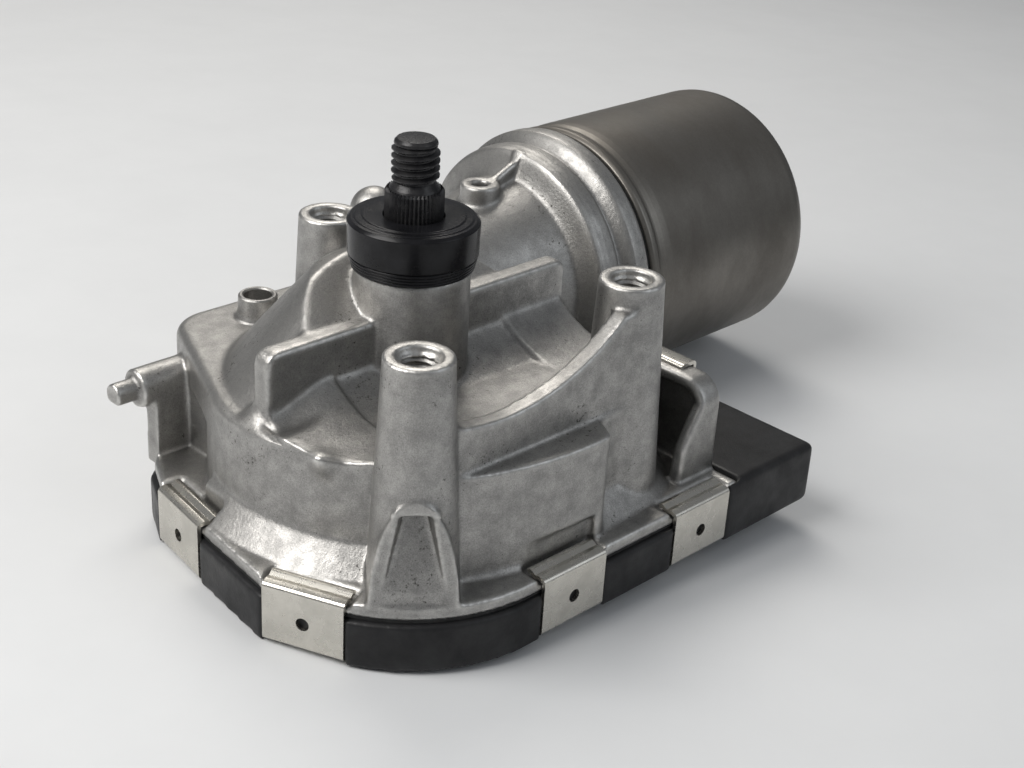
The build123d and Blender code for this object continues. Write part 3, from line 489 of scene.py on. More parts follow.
def turned(name, corners, axis, steps=96, rounding=0.25):
    """Mesh of a closed (radius, place) outline turned about an axis."""
    outline = rounded(corners, rounding * MM)
    work = bmesh.new()
    rings = []
    for radius, place in outline:
        around = steps if radius > TINY else 1
        turns = (2 * math.pi * i / steps for i in range(around))
        rings.append([work.verts.new(axis(radius, place, turn)) for turn in turns])
    for ring, following in zip(rings, rings[1:] + rings[:1]):
        for i in range(steps):
            corner = [ring[i % len(ring)], ring[(i + 1) % len(ring)],
                      following[(i + 1) % len(following)], following[i % len(following)]]
            corner = list(dict.fromkeys(corner))
            if len(corner) > 2:
                work.faces.new(corner)
    bmesh.ops.recalc_face_normals(work, faces=work.faces)
    mesh = bpy.data.meshes.new(name)
    work.to_mesh(mesh)
    work.free()
    return smooth(mesh)


def about_shaft(radius, place, turn):
    """Point round the output shaft's axis."""
    return (radius * math.cos(turn), radius * math.sin(turn), place)


def about_motor(radius, place, turn):
    """Point round the motor's axis."""
    return (place, MOTOR_Y + radius * math.cos(turn), MOTOR_Z + radius * math.sin(turn))


def about_deck_boss(radius, place, turn):
    """Point round the locating boss's axis."""
    return (DECK_BOSS.x + radius * math.cos(turn), DECK_BOSS.y + radius * math.sin(turn), place)


def rounded(corners, radius, steps=4):
    """Outline with its corners off the axis rounded by arcs of at most a radius."""
    nearly_straight, most = 0.05, 0.45
    outline = []
    for i, corner in enumerate(corners):
        here = Vector(corner)
        back, ahead = Vector(corners[i - 1]) - here, Vector(corners[(i + 1) % len(corners)]) - here
        straight = math.pi - back.angle(ahead)
        if here.x < TINY or straight < nearly_straight:
            outline.append(tuple(here))
            continue
        cut = min(radius * math.tan(straight / 2), most * back.length, most * ahead.length)
        start, end = here + back.normalized() * cut, here + ahead.normalized() * cut
        for k in range(steps + 1):
            t = k / steps
            outline.append(tuple((1 - t) ** 2 * start + 2 * t * (1 - t) * here + t * t * end))
    return outline


def geometry_tree(name, sizes):
    """New Geometry Nodes tree with named size inputs and a material."""
    tree = bpy.data.node_groups.new(name, "GeometryNodeTree")
    tree.interface.new_socket("Geometry", in_out="INPUT", socket_type="NodeSocketGeometry")
    for label, kind in sizes.items():
        tree.interface.new_socket(label, in_out="INPUT", socket_type="NodeSocket" + kind)
    tree.interface.new_socket("Material", in_out="INPUT", socket_type="NodeSocketMaterial")
    tree.interface.new_socket("Geometry", in_out="OUTPUT", socket_type="NodeSocketGeometry")
    return tree, tree.nodes.new("NodeGroupInput").outputs


def end_tree(tree, geometry, put, flat=False):
    """Closes a tree with realized instances and the material."""
    plain = made_by(tree, "GeometryNodeRealizeInstances", {"Geometry": geometry})
    shaded = made_by(tree, "GeometryNodeSetShadeSmooth", {"Geometry": plain, "Shade Smooth": not flat})
    dressed = made_by(tree, "GeometryNodeSetMaterial", {"Geometry": shaded, "Material": put["Material"]})
    tree.links.new(dressed, tree.nodes.new("NodeGroupOutput").inputs[0])
    return tree


def moved(tree, geometry, **how):
    """Geometry after a Translation or a Rotation."""
    return made_by(tree, "GeometryNodeTransform", {"Geometry": geometry, **how})


def spun(tree, value):
    """Rotation about Z by an angle."""
    turns = made_by(tree, "ShaderNodeCombineXYZ", {2: value})
    return made_by(tree, "FunctionNodeEulerToRotation", {0: turns})


def grown(tree, start, **values):
    """Plain mesh that a tree makes from a start mesh and values for its named inputs."""
    carrier = added("work", start)
    modifier = carrier.modifiers.new("grow", "NODES")
    modifier.node_group = tree
    for item in tree.interface.items_tree:
        if item.in_out == "INPUT" and item.name in values:
            modifier[item.identifier] = values[item.name]
    return settled(carrier)


def thread_tree():
    """Screw thread: a ridge with a flat crest along a right-hand helix that fades out at both ends."""
    foot_share, crest_share, end_scale = 0.88, 0.16, 0.15
    tree, put = geometry_tree("Screw thread", {"Radius": "Float", "Depth": "Float", "Pitch": "Float",
                                               "Turns": "Int", "Facing": "Float", "Foot": "Vector"})
    height = math_node(tree, "MULTIPLY", put["Pitch"], put["Turns"])
    helix = made_by(tree, "GeometryNodeCurveSpiral",
                    {"Resolution": 64, "Rotations": put["Turns"], "Height": height,
                     "Start Radius": put["Radius"], "End Radius": put["Radius"], "Reverse": True})
    upright = made_by(tree, "GeometryNodeSetCurveNormal", {"Curve": helix}, mode="Z_UP")
    along = node(tree, "GeometryNodeSplineParameter").outputs["Factor"]
    fade = math_node(tree, "PINGPONG", along, 0.5)
    fade = math_node(tree, "MULTIPLY", math_node(tree, "MULTIPLY", fade, put["Turns"]), 2.0, True)
    fade = ranged(tree, fade, end_scale, 1.0)
    section = made_by(tree, "GeometryNodeCurvePrimitiveQuadrilateral",
                      {"Height": put["Depth"],
                       "Bottom Width": math_node(tree, "MULTIPLY", put["Pitch"], foot_share),
                       "Top Width": math_node(tree, "MULTIPLY", put["Pitch"], crest_share),
                       "Offset": 0.0}, mode="TRAPEZOID")
    lift = made_by(tree, "ShaderNodeCombineXYZ", {1: math_node(tree, "MULTIPLY", put["Depth"], 0.5)})
    lifted = moved(tree, section, Translation=lift)
    faced = moved(tree, lifted, Rotation=spun(tree, put["Facing"]))
    ridge = made_by(tree, "GeometryNodeCurveToMesh", {"Curve": upright, "Profile Curve": faced, "Scale": fade,
                                                      "Fill Caps": True})
    return end_tree(tree, moved(tree, ridge, Translation=put["Foot"]), put, flat=True)


def serration_tree():
    """Serrations: ridges with pointed ends standing round the shaft's cone."""
    tree, put = geometry_tree("Serrations", {"Count": "Int", "Radius": "Float", "Depth": "Float",
                                             "Height": "Float", "Tip": "Float", "Foot": "Vector"})
    circle = made_by(tree, "GeometryNodeMeshCircle", {"Vertices": put["Count"], "Radius": put["Radius"]})
    straight = math_node(tree, "SUBTRACT", put["Height"], put["Tip"])
    ridge = made_by(tree, "GeometryNodeMeshCone", {"Vertices": 4, "Radius Top": put["Depth"],
                                                   "Radius Bottom": put["Depth"], "Depth": straight})
    point = made_by(tree, "GeometryNodeMeshCone", {"Vertices": 4, "Radius Top": 0.0,
                                                   "Radius Bottom": put["Depth"], "Depth": put["Tip"]})
    above = made_by(tree, "ShaderNodeCombineXYZ", {2: straight})
    point = moved(tree, point, Translation=above)
    both = node(tree, "GeometryNodeJoinGeometry")
    for part in (ridge, point):
        tree.links.new(part, both.inputs[0])
    whole = made_by(tree, "GeometryNodeMergeByDistance", {"Geometry": both.outputs[0],
                                                          "Distance": MERGE_REACH})
    spot = made_by(tree, "GeometryNodeInputPosition")
    facing = made_by(tree, "FunctionNodeAlignRotationToVector", {"Vector": spot}, axis="X", pivot_axis="Z")
    stand = made_by(tree, "GeometryNodeInstanceOnPoints", {"Points": circle, "Instance": whole,
                                                           "Rotation": facing})
    return end_tree(tree, moved(tree, stand, Translation=put["Foot"]), put, flat=True)


def ring_tree():
    """Rings below the cap's rim, each a little smaller than the one above it."""
    tree, put = geometry_tree("Cap rings", {"Count": "Int", "Radius": "Float", "Section": "Float",
                                            "Shrink": "Float", "Top": "Vector", "Step": "Vector"})
    line = made_by(tree, "GeometryNodeMeshLine", {"Count": put["Count"], "Start Location": put["Top"],
                                                  "Offset": put["Step"]})
    circle = made_by(tree, "GeometryNodeCurvePrimitiveCircle", {"Resolution": 96, "Radius": put["Radius"]})
    section = made_by(tree, "GeometryNodeCurvePrimitiveCircle", {"Resolution": 10, "Radius": put["Section"]})
    ring = made_by(tree, "GeometryNodeCurveToMesh", {"Curve": circle, "Profile Curve": section})
    index = made_by(tree, "GeometryNodeInputIndex")
    narrow = math_node(tree, "SUBTRACT", 1.0, math_node(tree, "MULTIPLY", index, put["Shrink"]))
    scale = made_by(tree, "ShaderNodeCombineXYZ", {0: narrow, 1: narrow, 2: 1.0})
    stack = made_by(tree, "GeometryNodeInstanceOnPoints", {"Points": line, "Instance": ring, "Scale": scale})
    return end_tree(tree, stack, put)


def clip_tree():
    """Spring clips: a bent strip with a hole, set on every seat of the start mesh."""
    tree, put = geometry_tree("Spring clips", {"Width": "Float", "Sheet": "Float", "Bend": "Float",
                                               "Hole": "Float", "Hole place": "Vector"})
    seat = made_by(tree, "GeometryNodeInputNamedAttribute", {"Name": "seat"}, data_type="BOOLEAN")
    parts = node(tree, "GeometryNodeSeparateGeometry", {"Geometry": put["Geometry"], "Selection": seat})
    path = made_by(tree, "GeometryNodeMeshToCurve", {"Mesh": parts.outputs["Inverted"]})
    bent = made_by(tree, "GeometryNodeFilletCurve", {"Curve": path, "Count": 8, "Radius": put["Bend"],
                                                     "Limit Radius": True}, mode="POLY")
    section = made_by(tree, "GeometryNodeCurvePrimitiveQuadrilateral", {"Width": put["Width"],
                                                                        "Height": put["Sheet"]})
    strip = made_by(tree, "GeometryNodeCurveToMesh", {"Curve": bent, "Profile Curve": section,
                                                      "Fill Caps": True})
    through = math_node(tree, "MULTIPLY", put["Sheet"], 4.0)
    drill = made_by(tree, "GeometryNodeMeshCylinder", {"Vertices": 32, "Radius": put["Hole"],
                                                       "Depth": through})
    across = made_by(tree, "FunctionNodeEulerToRotation", {0: (math.pi / 2, 0.0, 0.0)})
    drill = moved(tree, drill, Translation=put["Hole place"], Rotation=across)
    holed = made_by(tree, "GeometryNodeMeshBoolean", {"Mesh 1": strip, "Mesh 2": drill},
                    operation="DIFFERENCE", solver="EXACT")
    facing = made_by(tree, "GeometryNodeInputNamedAttribute", {"Name": "facing"}, data_type="FLOAT")
    stand = made_by(tree, "GeometryNodeInstanceOnPoints", {"Points": parts.outputs["Selection"],
                                                           "Instance": holed, "Rotation": spun(tree, facing)})
    return end_tree(tree, stand, put)


def path_mesh(name, path, seats=()):
    """Start mesh of a strip's path as (out, up) corners, and the seats as loose points with a facing."""
    mesh = bpy.data.meshes.new(name)
    corners = len(path)
    spots = [(0.0, y, z) for y, z in path]
    for facing, reach, shift in seats:
        out, side = reach * MM, shift * MM
        along, across = math.cos(math.radians(facing)), math.sin(math.radians(facing))
        spots.append((out * along + side * across, out * across - side * along, 0))
    mesh.from_pydata(spots, [(i, i + 1) for i in range(corners - 1)], [])
    mark = mesh.attributes.new("seat", "BOOLEAN", "POINT")
    mark.data.foreach_set("value", [i >= corners for i in range(len(spots))])
    keep_values(mesh, "facing", np.array([0.0] * corners + [math.radians(f - 90) for f, _, _ in seats]))
    return mesh


def near_post(points, radius):
    """Mask of the points within a radius of a post's axis."""
    near = np.zeros(len(points), bool)
    for post in POSTS:
        near |= np.hypot(points[:, 0] - post.x, points[:, 1] - post.y) < radius
    return near


def eased(values, start, end):
    """0 before a start, 1 after an end, and a soft step between."""
    t = np.clip((values - start) / (end - start), 0.0, 1.0)
    return t * t * (3.0 - 2.0 * t)


def closed_mesh(name, spots, faces):
    """Closed mesh with its faces turned outward."""
    mesh = bpy.data.meshes.new(name)
    mesh.from_pydata(spots, [], faces)
    work = bmesh.new()
    work.from_mesh(mesh)
    bmesh.ops.recalc_face_normals(work, faces=work.faces)
    work.to_mesh(mesh)
    work.free()
    return mesh


def lofted(name, stations):
    """Closed mesh through stations that each have the same number of corners, in millimetres."""
    corners = len(stations[0])
    last = len(stations) * corners
    spots = [tuple(c * MM for c in corner) for station in stations for corner in station]
    faces = [tuple(range(corners)), tuple(range(last - corners, last))]
    for start in range(0, last - corners, corners):
        for i in range(corners):
            k = (i + 1) % corners
            faces.append((start + i, start + k, start + corners + k, start + corners + i))
    return closed_mesh(name, spots, faces)


def dowel_room(setting):
    """Room in front of the dowel's web, outside the gear chamber."""
    left, right, front, back, low, high = -37.0, -25.5, 12.4, 29.4, 11.3, 22.8
    arc_end, corner_y = 23.2, 23.3
    reach = setting.rim_r / MM + 0.05
    arc = [(-math.sqrt(reach ** 2 - y * y), y) for y in np.linspace(front, arc_end, 12)]
    outline = [(left, front)] + arc + [(right, corner_y), (right, back), (left, back)]
    return lofted("dowel_room", [[(x, y, z) for x, y in outline] for z in (low, high)])


def wall_frame():
    """Thick top edge and front pillar round the recess of the end wall."""
    foot, corner_z, corner_y, outer, inner = 11.0, 24.2, -30.5, 5.0, 2.6
    right, top_left, top_end = 39.8, 37.0, -12.0
    heights, lefts = (foot, 17.7, 21.1, 25.4), (32.3, 32.7, 34.5, top_left)

    def station(far, near, left):
        return [(right, *far), (left, *far), (left, *near), (right, *near)]

    path = [(180.0, z - corner_z) for z in (foot, 14.0, 17.7, 21.1)]
    path += [(180.0 - 9.0 * k, 0.0) for k in range(11)]
    stations = []
    for turn, drop in path:
        side, rise = math.cos(math.radians(turn)), math.sin(math.radians(turn))
        far, near = ((corner_y + r * side, corner_z + r * rise + drop) for r in (outer, inner))
        stations.append(station(far, near, float(np.interp(far[1], heights, lefts))))
    stations.append(station((top_end, corner_z + outer), (top_end, corner_z + inner), top_left))
    return lofted("wall_frame", stations)


def rib_foot(setting):
    """Ramp from the long rib's end down to the chamber's rim."""
    inner_x, edge_z, low, inset = -30.6, 29.2, 28.2, 0.1
    stations = []
    for y, top, bend_x, bend_z in RIB_FOOT:
        edge_x = -math.sqrt((setting.rim_r / MM) ** 2 - y * y) + inset
        stations.append([(inner_x, y, top), (bend_x, y, bend_z), (edge_x, y, edge_z), (edge_x, y, low),
                         (inner_x, y, low)])
    return lofted("rib_foot", stations)


def pad_arch():
    """Arched top of the flat pad at the foot of the front left post."""
    turn, post = math.radians(-129.5), min(POSTS, key=lambda place: place.x) / MM
    inner, outer = 4.0, 6.8
    stations = [[(post.x + out * math.cos(turn) - side * math.sin(turn),
                  post.y + out * math.sin(turn) + side * math.cos(turn), z) for side, z in PAD_ARCH]
                for out in (inner, outer)]
    return lofted("pad_arch", stations)


def joined(name, *meshes):
    """One mesh that holds several."""
    work = bmesh.new()
    for mesh in meshes:
        work.from_mesh(mesh)
    made = bpy.data.meshes.new(name)
    work.to_mesh(made)
    work.free()
    return made


def shape_trough_end(points, setting):
    """Carries the trough's edge out to the rim and lowers its floor beside the long rib's end."""
    x, y, z = points.T
    deck, span, most = setting.deck_z, 10.0 * MM, 3.2 * MM
    rim = np.sqrt(np.maximum(setting.rim_r ** 2 - y ** 2, 0.0))
    gap = np.maximum(rim - setting.rib_x, 0.02 * MM)
    kept = gap * (1.0 - eased(-y, 2.0 * MM, 9.5 * MM))
    inward = x + rim
    wanted = np.where(inward < gap, inward * kept / gap,
                      kept + (inward - gap) * (span - kept) / (span - gap))
    near = (x < 0.0) & (inward > 0.0) & (inward < span) & (rim > setting.rib_x)
    level = eased(z, deck - 2.0 * MM, deck - 0.9 * MM)
    points[near, 0] += ((wanted - inward) * level)[near]
    beside = eased(-x, 19.0 * MM, 31.0 * MM) * (1.0 - eased(-y, 3.0 * MM, 11.0 * MM)) * (y < -1.5 * MM)
    beside *= 1.0 - eased(z, 36.0 * MM, 40.0 * MM)
    points[:, 2] -= most * beside * eased(z, deck + 0.2 * MM, deck + 3.0 * MM)
    return points


def round_rib_end(points, setting):
    """Rounds the top corner of the long rib's end."""
    radius, half_width = 2.6 * MM, 3.5 * MM
    middle = np.array((-setting.rib_x + radius, setting.rib_top - radius))
    off = points[:, (0, 2)] - middle
    far = np.hypot(*off.T)
    corner = (off[:, 0] < 0.0) & (off[:, 1] > 0.0) & (far > radius)
    corner &= np.abs(points[:, 1]) < half_width
    points[np.ix_(corner, (0, 2))] = middle + off[corner] * (radius / far[corner])[:, None]
    return points


def sharpen_neck(points):
    """Steeper shoulder, narrow seam and wide bead on the neck, and a gap before the can."""
    x = points[:, 0] / MM
    off = points[:, 1:] - np.array((MOTOR_Y, MOTOR_Z))
    radius = np.hypot(*off.T) / MM
    before, after = np.interp(x, *zip(*NECK_BEFORE)), np.interp(x, *zip(*NECK_AFTER))
    skin = eased(radius, before - 3.0, before - 1.0) * (1.0 - eased(radius, before + 0.3, before + 3.0))
    wanted = radius + (after - before) * skin * (x > NECK_AFTER[0][0]) * (x < NECK_AFTER[-1][0])
    bead = (x > BEAD_AFTER[0][0]) & (x < BEAD_AFTER[-1][0]) & (radius > BEAD_INNER_R)
    wanted[bead] = np.interp(x[bead], *zip(*BEAD_AFTER))
    wanted[(x > CAN_GAP_X) & (radius > CAN_GAP_R)] = CAN_GAP_R
    points[:, 1:] += off * (wanted / np.maximum(radius, 0.01) - 1.0)[:, None]
    return points


def raise_nub(points, setting):
    """Small cast nub on the rim in front of the trough."""
    turn, drop, width, height = math.radians(-154.1), 1.0 * MM, 2.2 * MM, 2.0 * MM
    rim, lean = setting.rim_r, 0.7
    middle = Vector((rim * math.cos(turn), rim * math.sin(turn), setting.deck_z - drop))
    out = Vector((math.cos(turn), math.sin(turn), lean)).normalized()
    far = np.linalg.norm(points - np.array(middle), axis=1)
    points += np.exp(-(far / width) ** 2)[:, None] * np.array(out) * height
    return points


def casting_weights(points, setting):
    """How far the rounding may move each vertex: little on machined places, fully on the cast skin."""
    x, y, z = points.T
    top = setting.post_top
    regions = {
        "flange": ((z < 14.5 * MM) & (x < 45.0 * MM), 0.25),
        "neck": (x > 53.0 * MM, 0.45),
        "trough": ((y < -3.0 * MM) & (z > 28.0 * MM) & (z < 46.0 * MM) & (np.abs(x) < 27.0 * MM), 0.3),
        "dowel": (x < -33.0 * MM, 0.35),
        "foot pad": (near_post(points, 11.0 * MM) & (x < -10.0 * MM) & (z < 31.0 * MM), 0.2),
        "post tops": (near_post(points, 6.2 * MM) & (z > top - 1.6 * MM), 0.12),
        "bores": (near_post(points, setting.bore_r + 1.2 * MM) & (z > top - 22.0 * MM), 0.1),
    }
    weight = np.full(len(points), 0.8)
    for region, much in regions.values():
        weight[region] = much
    return weight


def rib_foot_weights(points):
    """Extra rounding where the long rib's end runs into the chamber's rim."""
    middle, reach = np.array((-32.4, -1.0, 30.8)) * MM, np.array((2.6, 5.0, 2.6)) * MM
    off = (points - middle) / reach
    return np.exp(-np.sum(off ** 2, axis=1) ** 2)


def widen_bores(points, setting):
    """Moves the posts' bore walls out to the thread's groove, below the plain mouth."""
    high, low = setting.post_top - setting.mouth_depth - 0.2 * MM, 33.5 * MM
    below = (points[:, 2] < high) & (points[:, 2] > low)
    for post in POSTS:
        off = points[:, :2] - np.array(post.xy)
        radius = np.hypot(*off.T)
        wall = below & (np.abs(radius - setting.bore_r) < 0.35 * MM)
        points[wall, :2] += off[wall] / radius[wall, None] * setting.bore_depth
    return points


def machined_mask(points, setting):
    """1 on the posts' tops and mouths and on the joint face, 0 on the cast skin."""
    z = points[:, 2]
    top = near_post(points, 6.5 * MM) & (z > setting.post_top - 0.12 * MM)
    bore = near_post(points, 3.7 * MM) & (z > setting.post_top - 20.0 * MM)
    joint = (z < 9.1 * MM) & (points[:, 0] < 43.0 * MM)
    return (top | bore | joint).astype(float)


# Finishes of the inner parts: name, dark and light colour, further settings, and the CAD nodes that have them
INNER_FINISHES = (
    ("Sintered bronze", (0.36, 0.25, 0.13), (0.60, 0.46, 0.27),
     {"patches": 700.0, "gloss": (0.40, 0.55), "metallic": 0.9, "grain": 3000.0, "bump": 0.2,
      "pores": (0.25, (0.12, 0.08, 0.04))}, ("lower_bush", "upper_bush", "worm_bush", "rear_bearing")),
    ("Ground steel", (0.48, 0.48, 0.49), (0.66, 0.66, 0.67),
     {"patches": 500.0, "gloss": (0.20, 0.32), "metallic": 1.0, "grain": 1400.0, "bump": 0.04,
      "stretch": (6.0, 1.0, 1.0)}, ("armature_shaft", "front_bearing", "thrust_washer")),
    ("Spring steel", (0.40, 0.40, 0.41), (0.58, 0.58, 0.59),
     {"patches": 600.0, "gloss": (0.26, 0.38), "metallic": 1.0, "grain": 2000.0, "bump": 0.05},
     ("brush_springs", "bearing_retainer", "retaining_ring")),
    ("Copper wire", (0.42, 0.17, 0.07), (0.70, 0.36, 0.20),
     {"patches": 300.0, "gloss": (0.28, 0.42), "metallic": 0.9, "grain": 900.0, "bump": 0.4,
      "stretch": (0.2, 3.0, 3.0)}, ("windings", "commutator")),
    ("Carrier plastic", (0.08, 0.075, 0.07), (0.16, 0.15, 0.14),
     {"patches": 200.0, "gloss": (0.42, 0.56), "metallic": 0.0}, ("brush_plate", "thrust_button")),
    ("Seal rubber", (0.012, 0.012, 0.012), (0.030, 0.030, 0.030),
     {"patches": 350.0, "gloss": (0.6, 0.75), "metallic": 0.0}, ("shaft_seal", "cover_gasket")),
    ("Ferrite", (0.060, 0.058, 0.060), (0.115, 0.110, 0.112),
     {"patches": 400.0, "gloss": (0.5, 0.66), "metallic": 0.1, "grain": 2600.0, "bump": 0.2},
     ("magnets", "chokes", "sensor_magnet")),
    ("Core laminations", (0.16, 0.16, 0.165), (0.34, 0.34, 0.35),
     {"patches": 500.0, "gloss": (0.34, 0.48), "metallic": 0.95, "grain": 700.0, "bump": 0.5,
      "stretch": (8.0, 0.4, 0.4)}, ("armature_core",)),
    ("Brush carbon", (0.020, 0.020, 0.020), (0.055, 0.055, 0.055),
     {"patches": 800.0, "gloss": (0.5, 0.62), "metallic": 0.2}, ("carbon_brushes",)),
    ("Wheel plastic", (0.60, 0.57, 0.47), (0.76, 0.73, 0.64),
     {"patches": 120.0, "gloss": (0.32, 0.44), "metallic": 0.0, "grain": 1200.0, "bump": 0.06},
     ("worm_wheel",)),
    ("Board laminate", (0.020, 0.110, 0.050), (0.045, 0.190, 0.095),
     {"patches": 350.0, "gloss": (0.30, 0.42), "metallic": 0.0}, ("circuit_board",)),
    ("Device black", (0.018, 0.018, 0.020), (0.045, 0.045, 0.048),
     {"patches": 500.0, "gloss": (0.36, 0.5), "metallic": 0.0}, ("board_components",)),
    ("Terminal brass", (0.50, 0.39, 0.18), (0.74, 0.62, 0.36),
     {"patches": 600.0, "gloss": (0.24, 0.36), "metallic": 1.0}, ("connector_terminals",)),
)


class PieceOperator:
    """What the pieces' operators share."""
    bl_options = {"REGISTER", "UNDO"}


class OBJECT_OT_wiper_casting(PieceOperator, Operator):
    """Gear casting with rounded edges, worn rims and threaded posts"""
    bl_idname = "object.wiper_casting"
    bl_label = "Gear casting"

    def execute(self, context):
        setting = context.scene.wiper_casting
        cutter = added("cutter", dowel_room(setting))
        cut = modified(cad_copy("gear_housing"),
                       ("BOOLEAN", {"operation": "DIFFERENCE", "object": cutter}))
        bpy.data.objects.remove(cutter)
        dense = modified(joined("casting", cut, wall_frame(), pad_arch(), rib_foot(setting)),
                         ("REMESH", {"mode": "VOXEL", "voxel_size": setting.voxel}))
        points = round_rib_end(shape_trough_end(points_of(dense), setting), setting)
        place_points(dense, sharpen_neck(points))
        relax(dense, casting_weights(points_of(dense), setting), setting.passes)
        relax(dense, rib_foot_weights(points_of(dense)), setting.foot_passes)
        place_points(dense, raise_nub(points_of(dense), setting))
        # Convexity of each vertex, used for the painted highlight on the cast edges.
        edge_highlight = outward_bend(dense)
        mesh = thinned(dense.copy(), setting.triangles)
        edge_highlight = nearest_values(dense, edge_highlight, mesh)
        points = points_of(mesh)
        machined = machined_mask(points, setting)
        place_points(mesh, widen_bores(points, setting))
        # Strength of the painted edge highlight, and of the machined faces' real brightness.
        highlight_weight, cut_bright = 0.8, 0.45
        keep_values(mesh, "edge_highlight", np.maximum(highlight_weight * edge_highlight, cut_bright * machined))
        mesh.shade_smooth()
        skin = finish("Cast aluminium", setting.dark, setting.light, patches=340.0, gloss=(0.40, 0.50),
                      metallic=1.0, grain=1600.0, bump=0.28, pores=(0.18, setting.pore), edge=setting.edge,
                      speckle=0.55)
        piece("gear_casting", mesh, skin, "cast_aluminium", "housing", "gear_housing")
        self.deck_boss(setting, skin)
        self.threads(setting, skin)
        return {"FINISHED"}

    def deck_boss(self, setting, skin):
        boss, hole, top, deck = setting.boss_r, setting.boss_hole_r, setting.boss_top, setting.deck_z
        low, edge = deck - 1.0 * MM, 0.3 * MM
        corners = [(boss + 1.1 * MM, low), (boss + 1.0 * MM, deck - 0.1 * MM),
                   (boss + 0.4 * MM, deck + 0.4 * MM), (boss + 0.1 * MM, deck + 1.3 * MM),
                   (boss - 0.05 * MM, top - edge), (boss - 0.35 * MM, top), (hole + edge, top),
                   (hole, top - edge), (hole, low)]
        ring = turned("deck_boss_ring", corners, about_deck_boss, 64)
        keep_values(ring, "edge_highlight", np.zeros(len(ring.vertices)))
        piece("deck_boss_ring", ring, skin, "cast_aluminium", "housing")

    def threads(self, setting, skin):
        tree = thread_tree()
        foot = setting.post_top - setting.mouth_depth - setting.bore_turns * setting.bore_pitch
        for number, post in enumerate(POSTS):
            mesh = grown(tree, bpy.data.meshes.new("start"), Radius=setting.bore_r + setting.bore_depth,
                         Depth=setting.bore_depth, Pitch=setting.bore_pitch, Turns=setting.bore_turns,
                         Facing=math.pi / 2, Foot=(post.x, post.y, foot), Material=skin)
            piece(f"post_thread_{number + 1}", mesh, skin, "cast_aluminium", "housing")


class OBJECT_OT_wiper_shaft(PieceOperator, Operator):
    """Output shaft with its thread and serrated cone"""
    bl_idname = "object.wiper_shaft"
    bl_label = "Output shaft"

    def execute(self, context):
        setting = context.scene.wiper_shaft
        low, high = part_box("output_shaft")
        black = finish("Blackened steel", setting.black, setting.grey, patches=520.0, gloss=(0.20, 0.34),
                       metallic=0.25, grain=2600.0, bump=0.10, shine=0.3)
        root, tip = setting.thread_r - setting.thread_depth, setting.top_z
        cone_top = setting.cone_z + setting.cone_h
        inner_low = setting.cone_low_r - setting.serration_depth
        inner_high = setting.cone_high_r - setting.serration_depth
        journal, flange, flange_top = setting.cone_low_r, high.x, low.z + 2.2 * MM
        groove_r, groove_low, groove_high = journal - 0.4 * MM, 53.2 * MM, 54.4 * MM
        corners = [(0.0, low.z), (flange, low.z), (flange, flange_top), (journal, flange_top),
                   (journal, groove_low), (groove_r, groove_low), (groove_r, groove_high),
                   (journal, groove_high), (journal, setting.cone_z - 0.5 * MM),
                   (inner_low, setting.cone_z - 0.4 * MM), (inner_high, cone_top - 0.3 * MM),
                   (inner_high - 0.2 * MM, cone_top + 0.1 * MM), (root, setting.thread_z + 0.1 * MM),
                   (root, tip - 1.1 * MM), (setting.thread_r - 0.35 * MM, tip - 0.9 * MM),
                   (setting.thread_r - 0.45 * MM, tip - 0.45 * MM), (setting.thread_r - 0.9 * MM, tip),
                   (0.0, tip)]
        piece("shaft_body", turned("shaft_body", corners, about_shaft, rounding=0.15), black, "black_steel",
              "output", "output_shaft")
        sunk = 0.02 * MM
        thread = grown(bpy.data.node_groups["Screw thread"], bpy.data.meshes.new("start"),
                       Radius=root - sunk, Depth=setting.thread_depth + sunk, Pitch=setting.pitch,
                       Turns=setting.turns, Facing=-math.pi / 2, Foot=(0.0, 0.0, setting.thread_z),
                       Material=black)
        piece("shaft_thread", thread, black, "black_steel", "output")
        below = 0.3 * MM
        ridges = grown(serration_tree(), bpy.data.meshes.new("start"), Count=setting.serrations,
                       Radius=inner_low - 0.05 * MM, Depth=setting.serration_depth,
                       Height=setting.cone_h + below, Tip=setting.serration_tip,
                       Foot=(0.0, 0.0, setting.cone_z - below), Material=black)
        piece("shaft_serrations", ridges, black, "black_steel", "output")
        return {"FINISHED"}


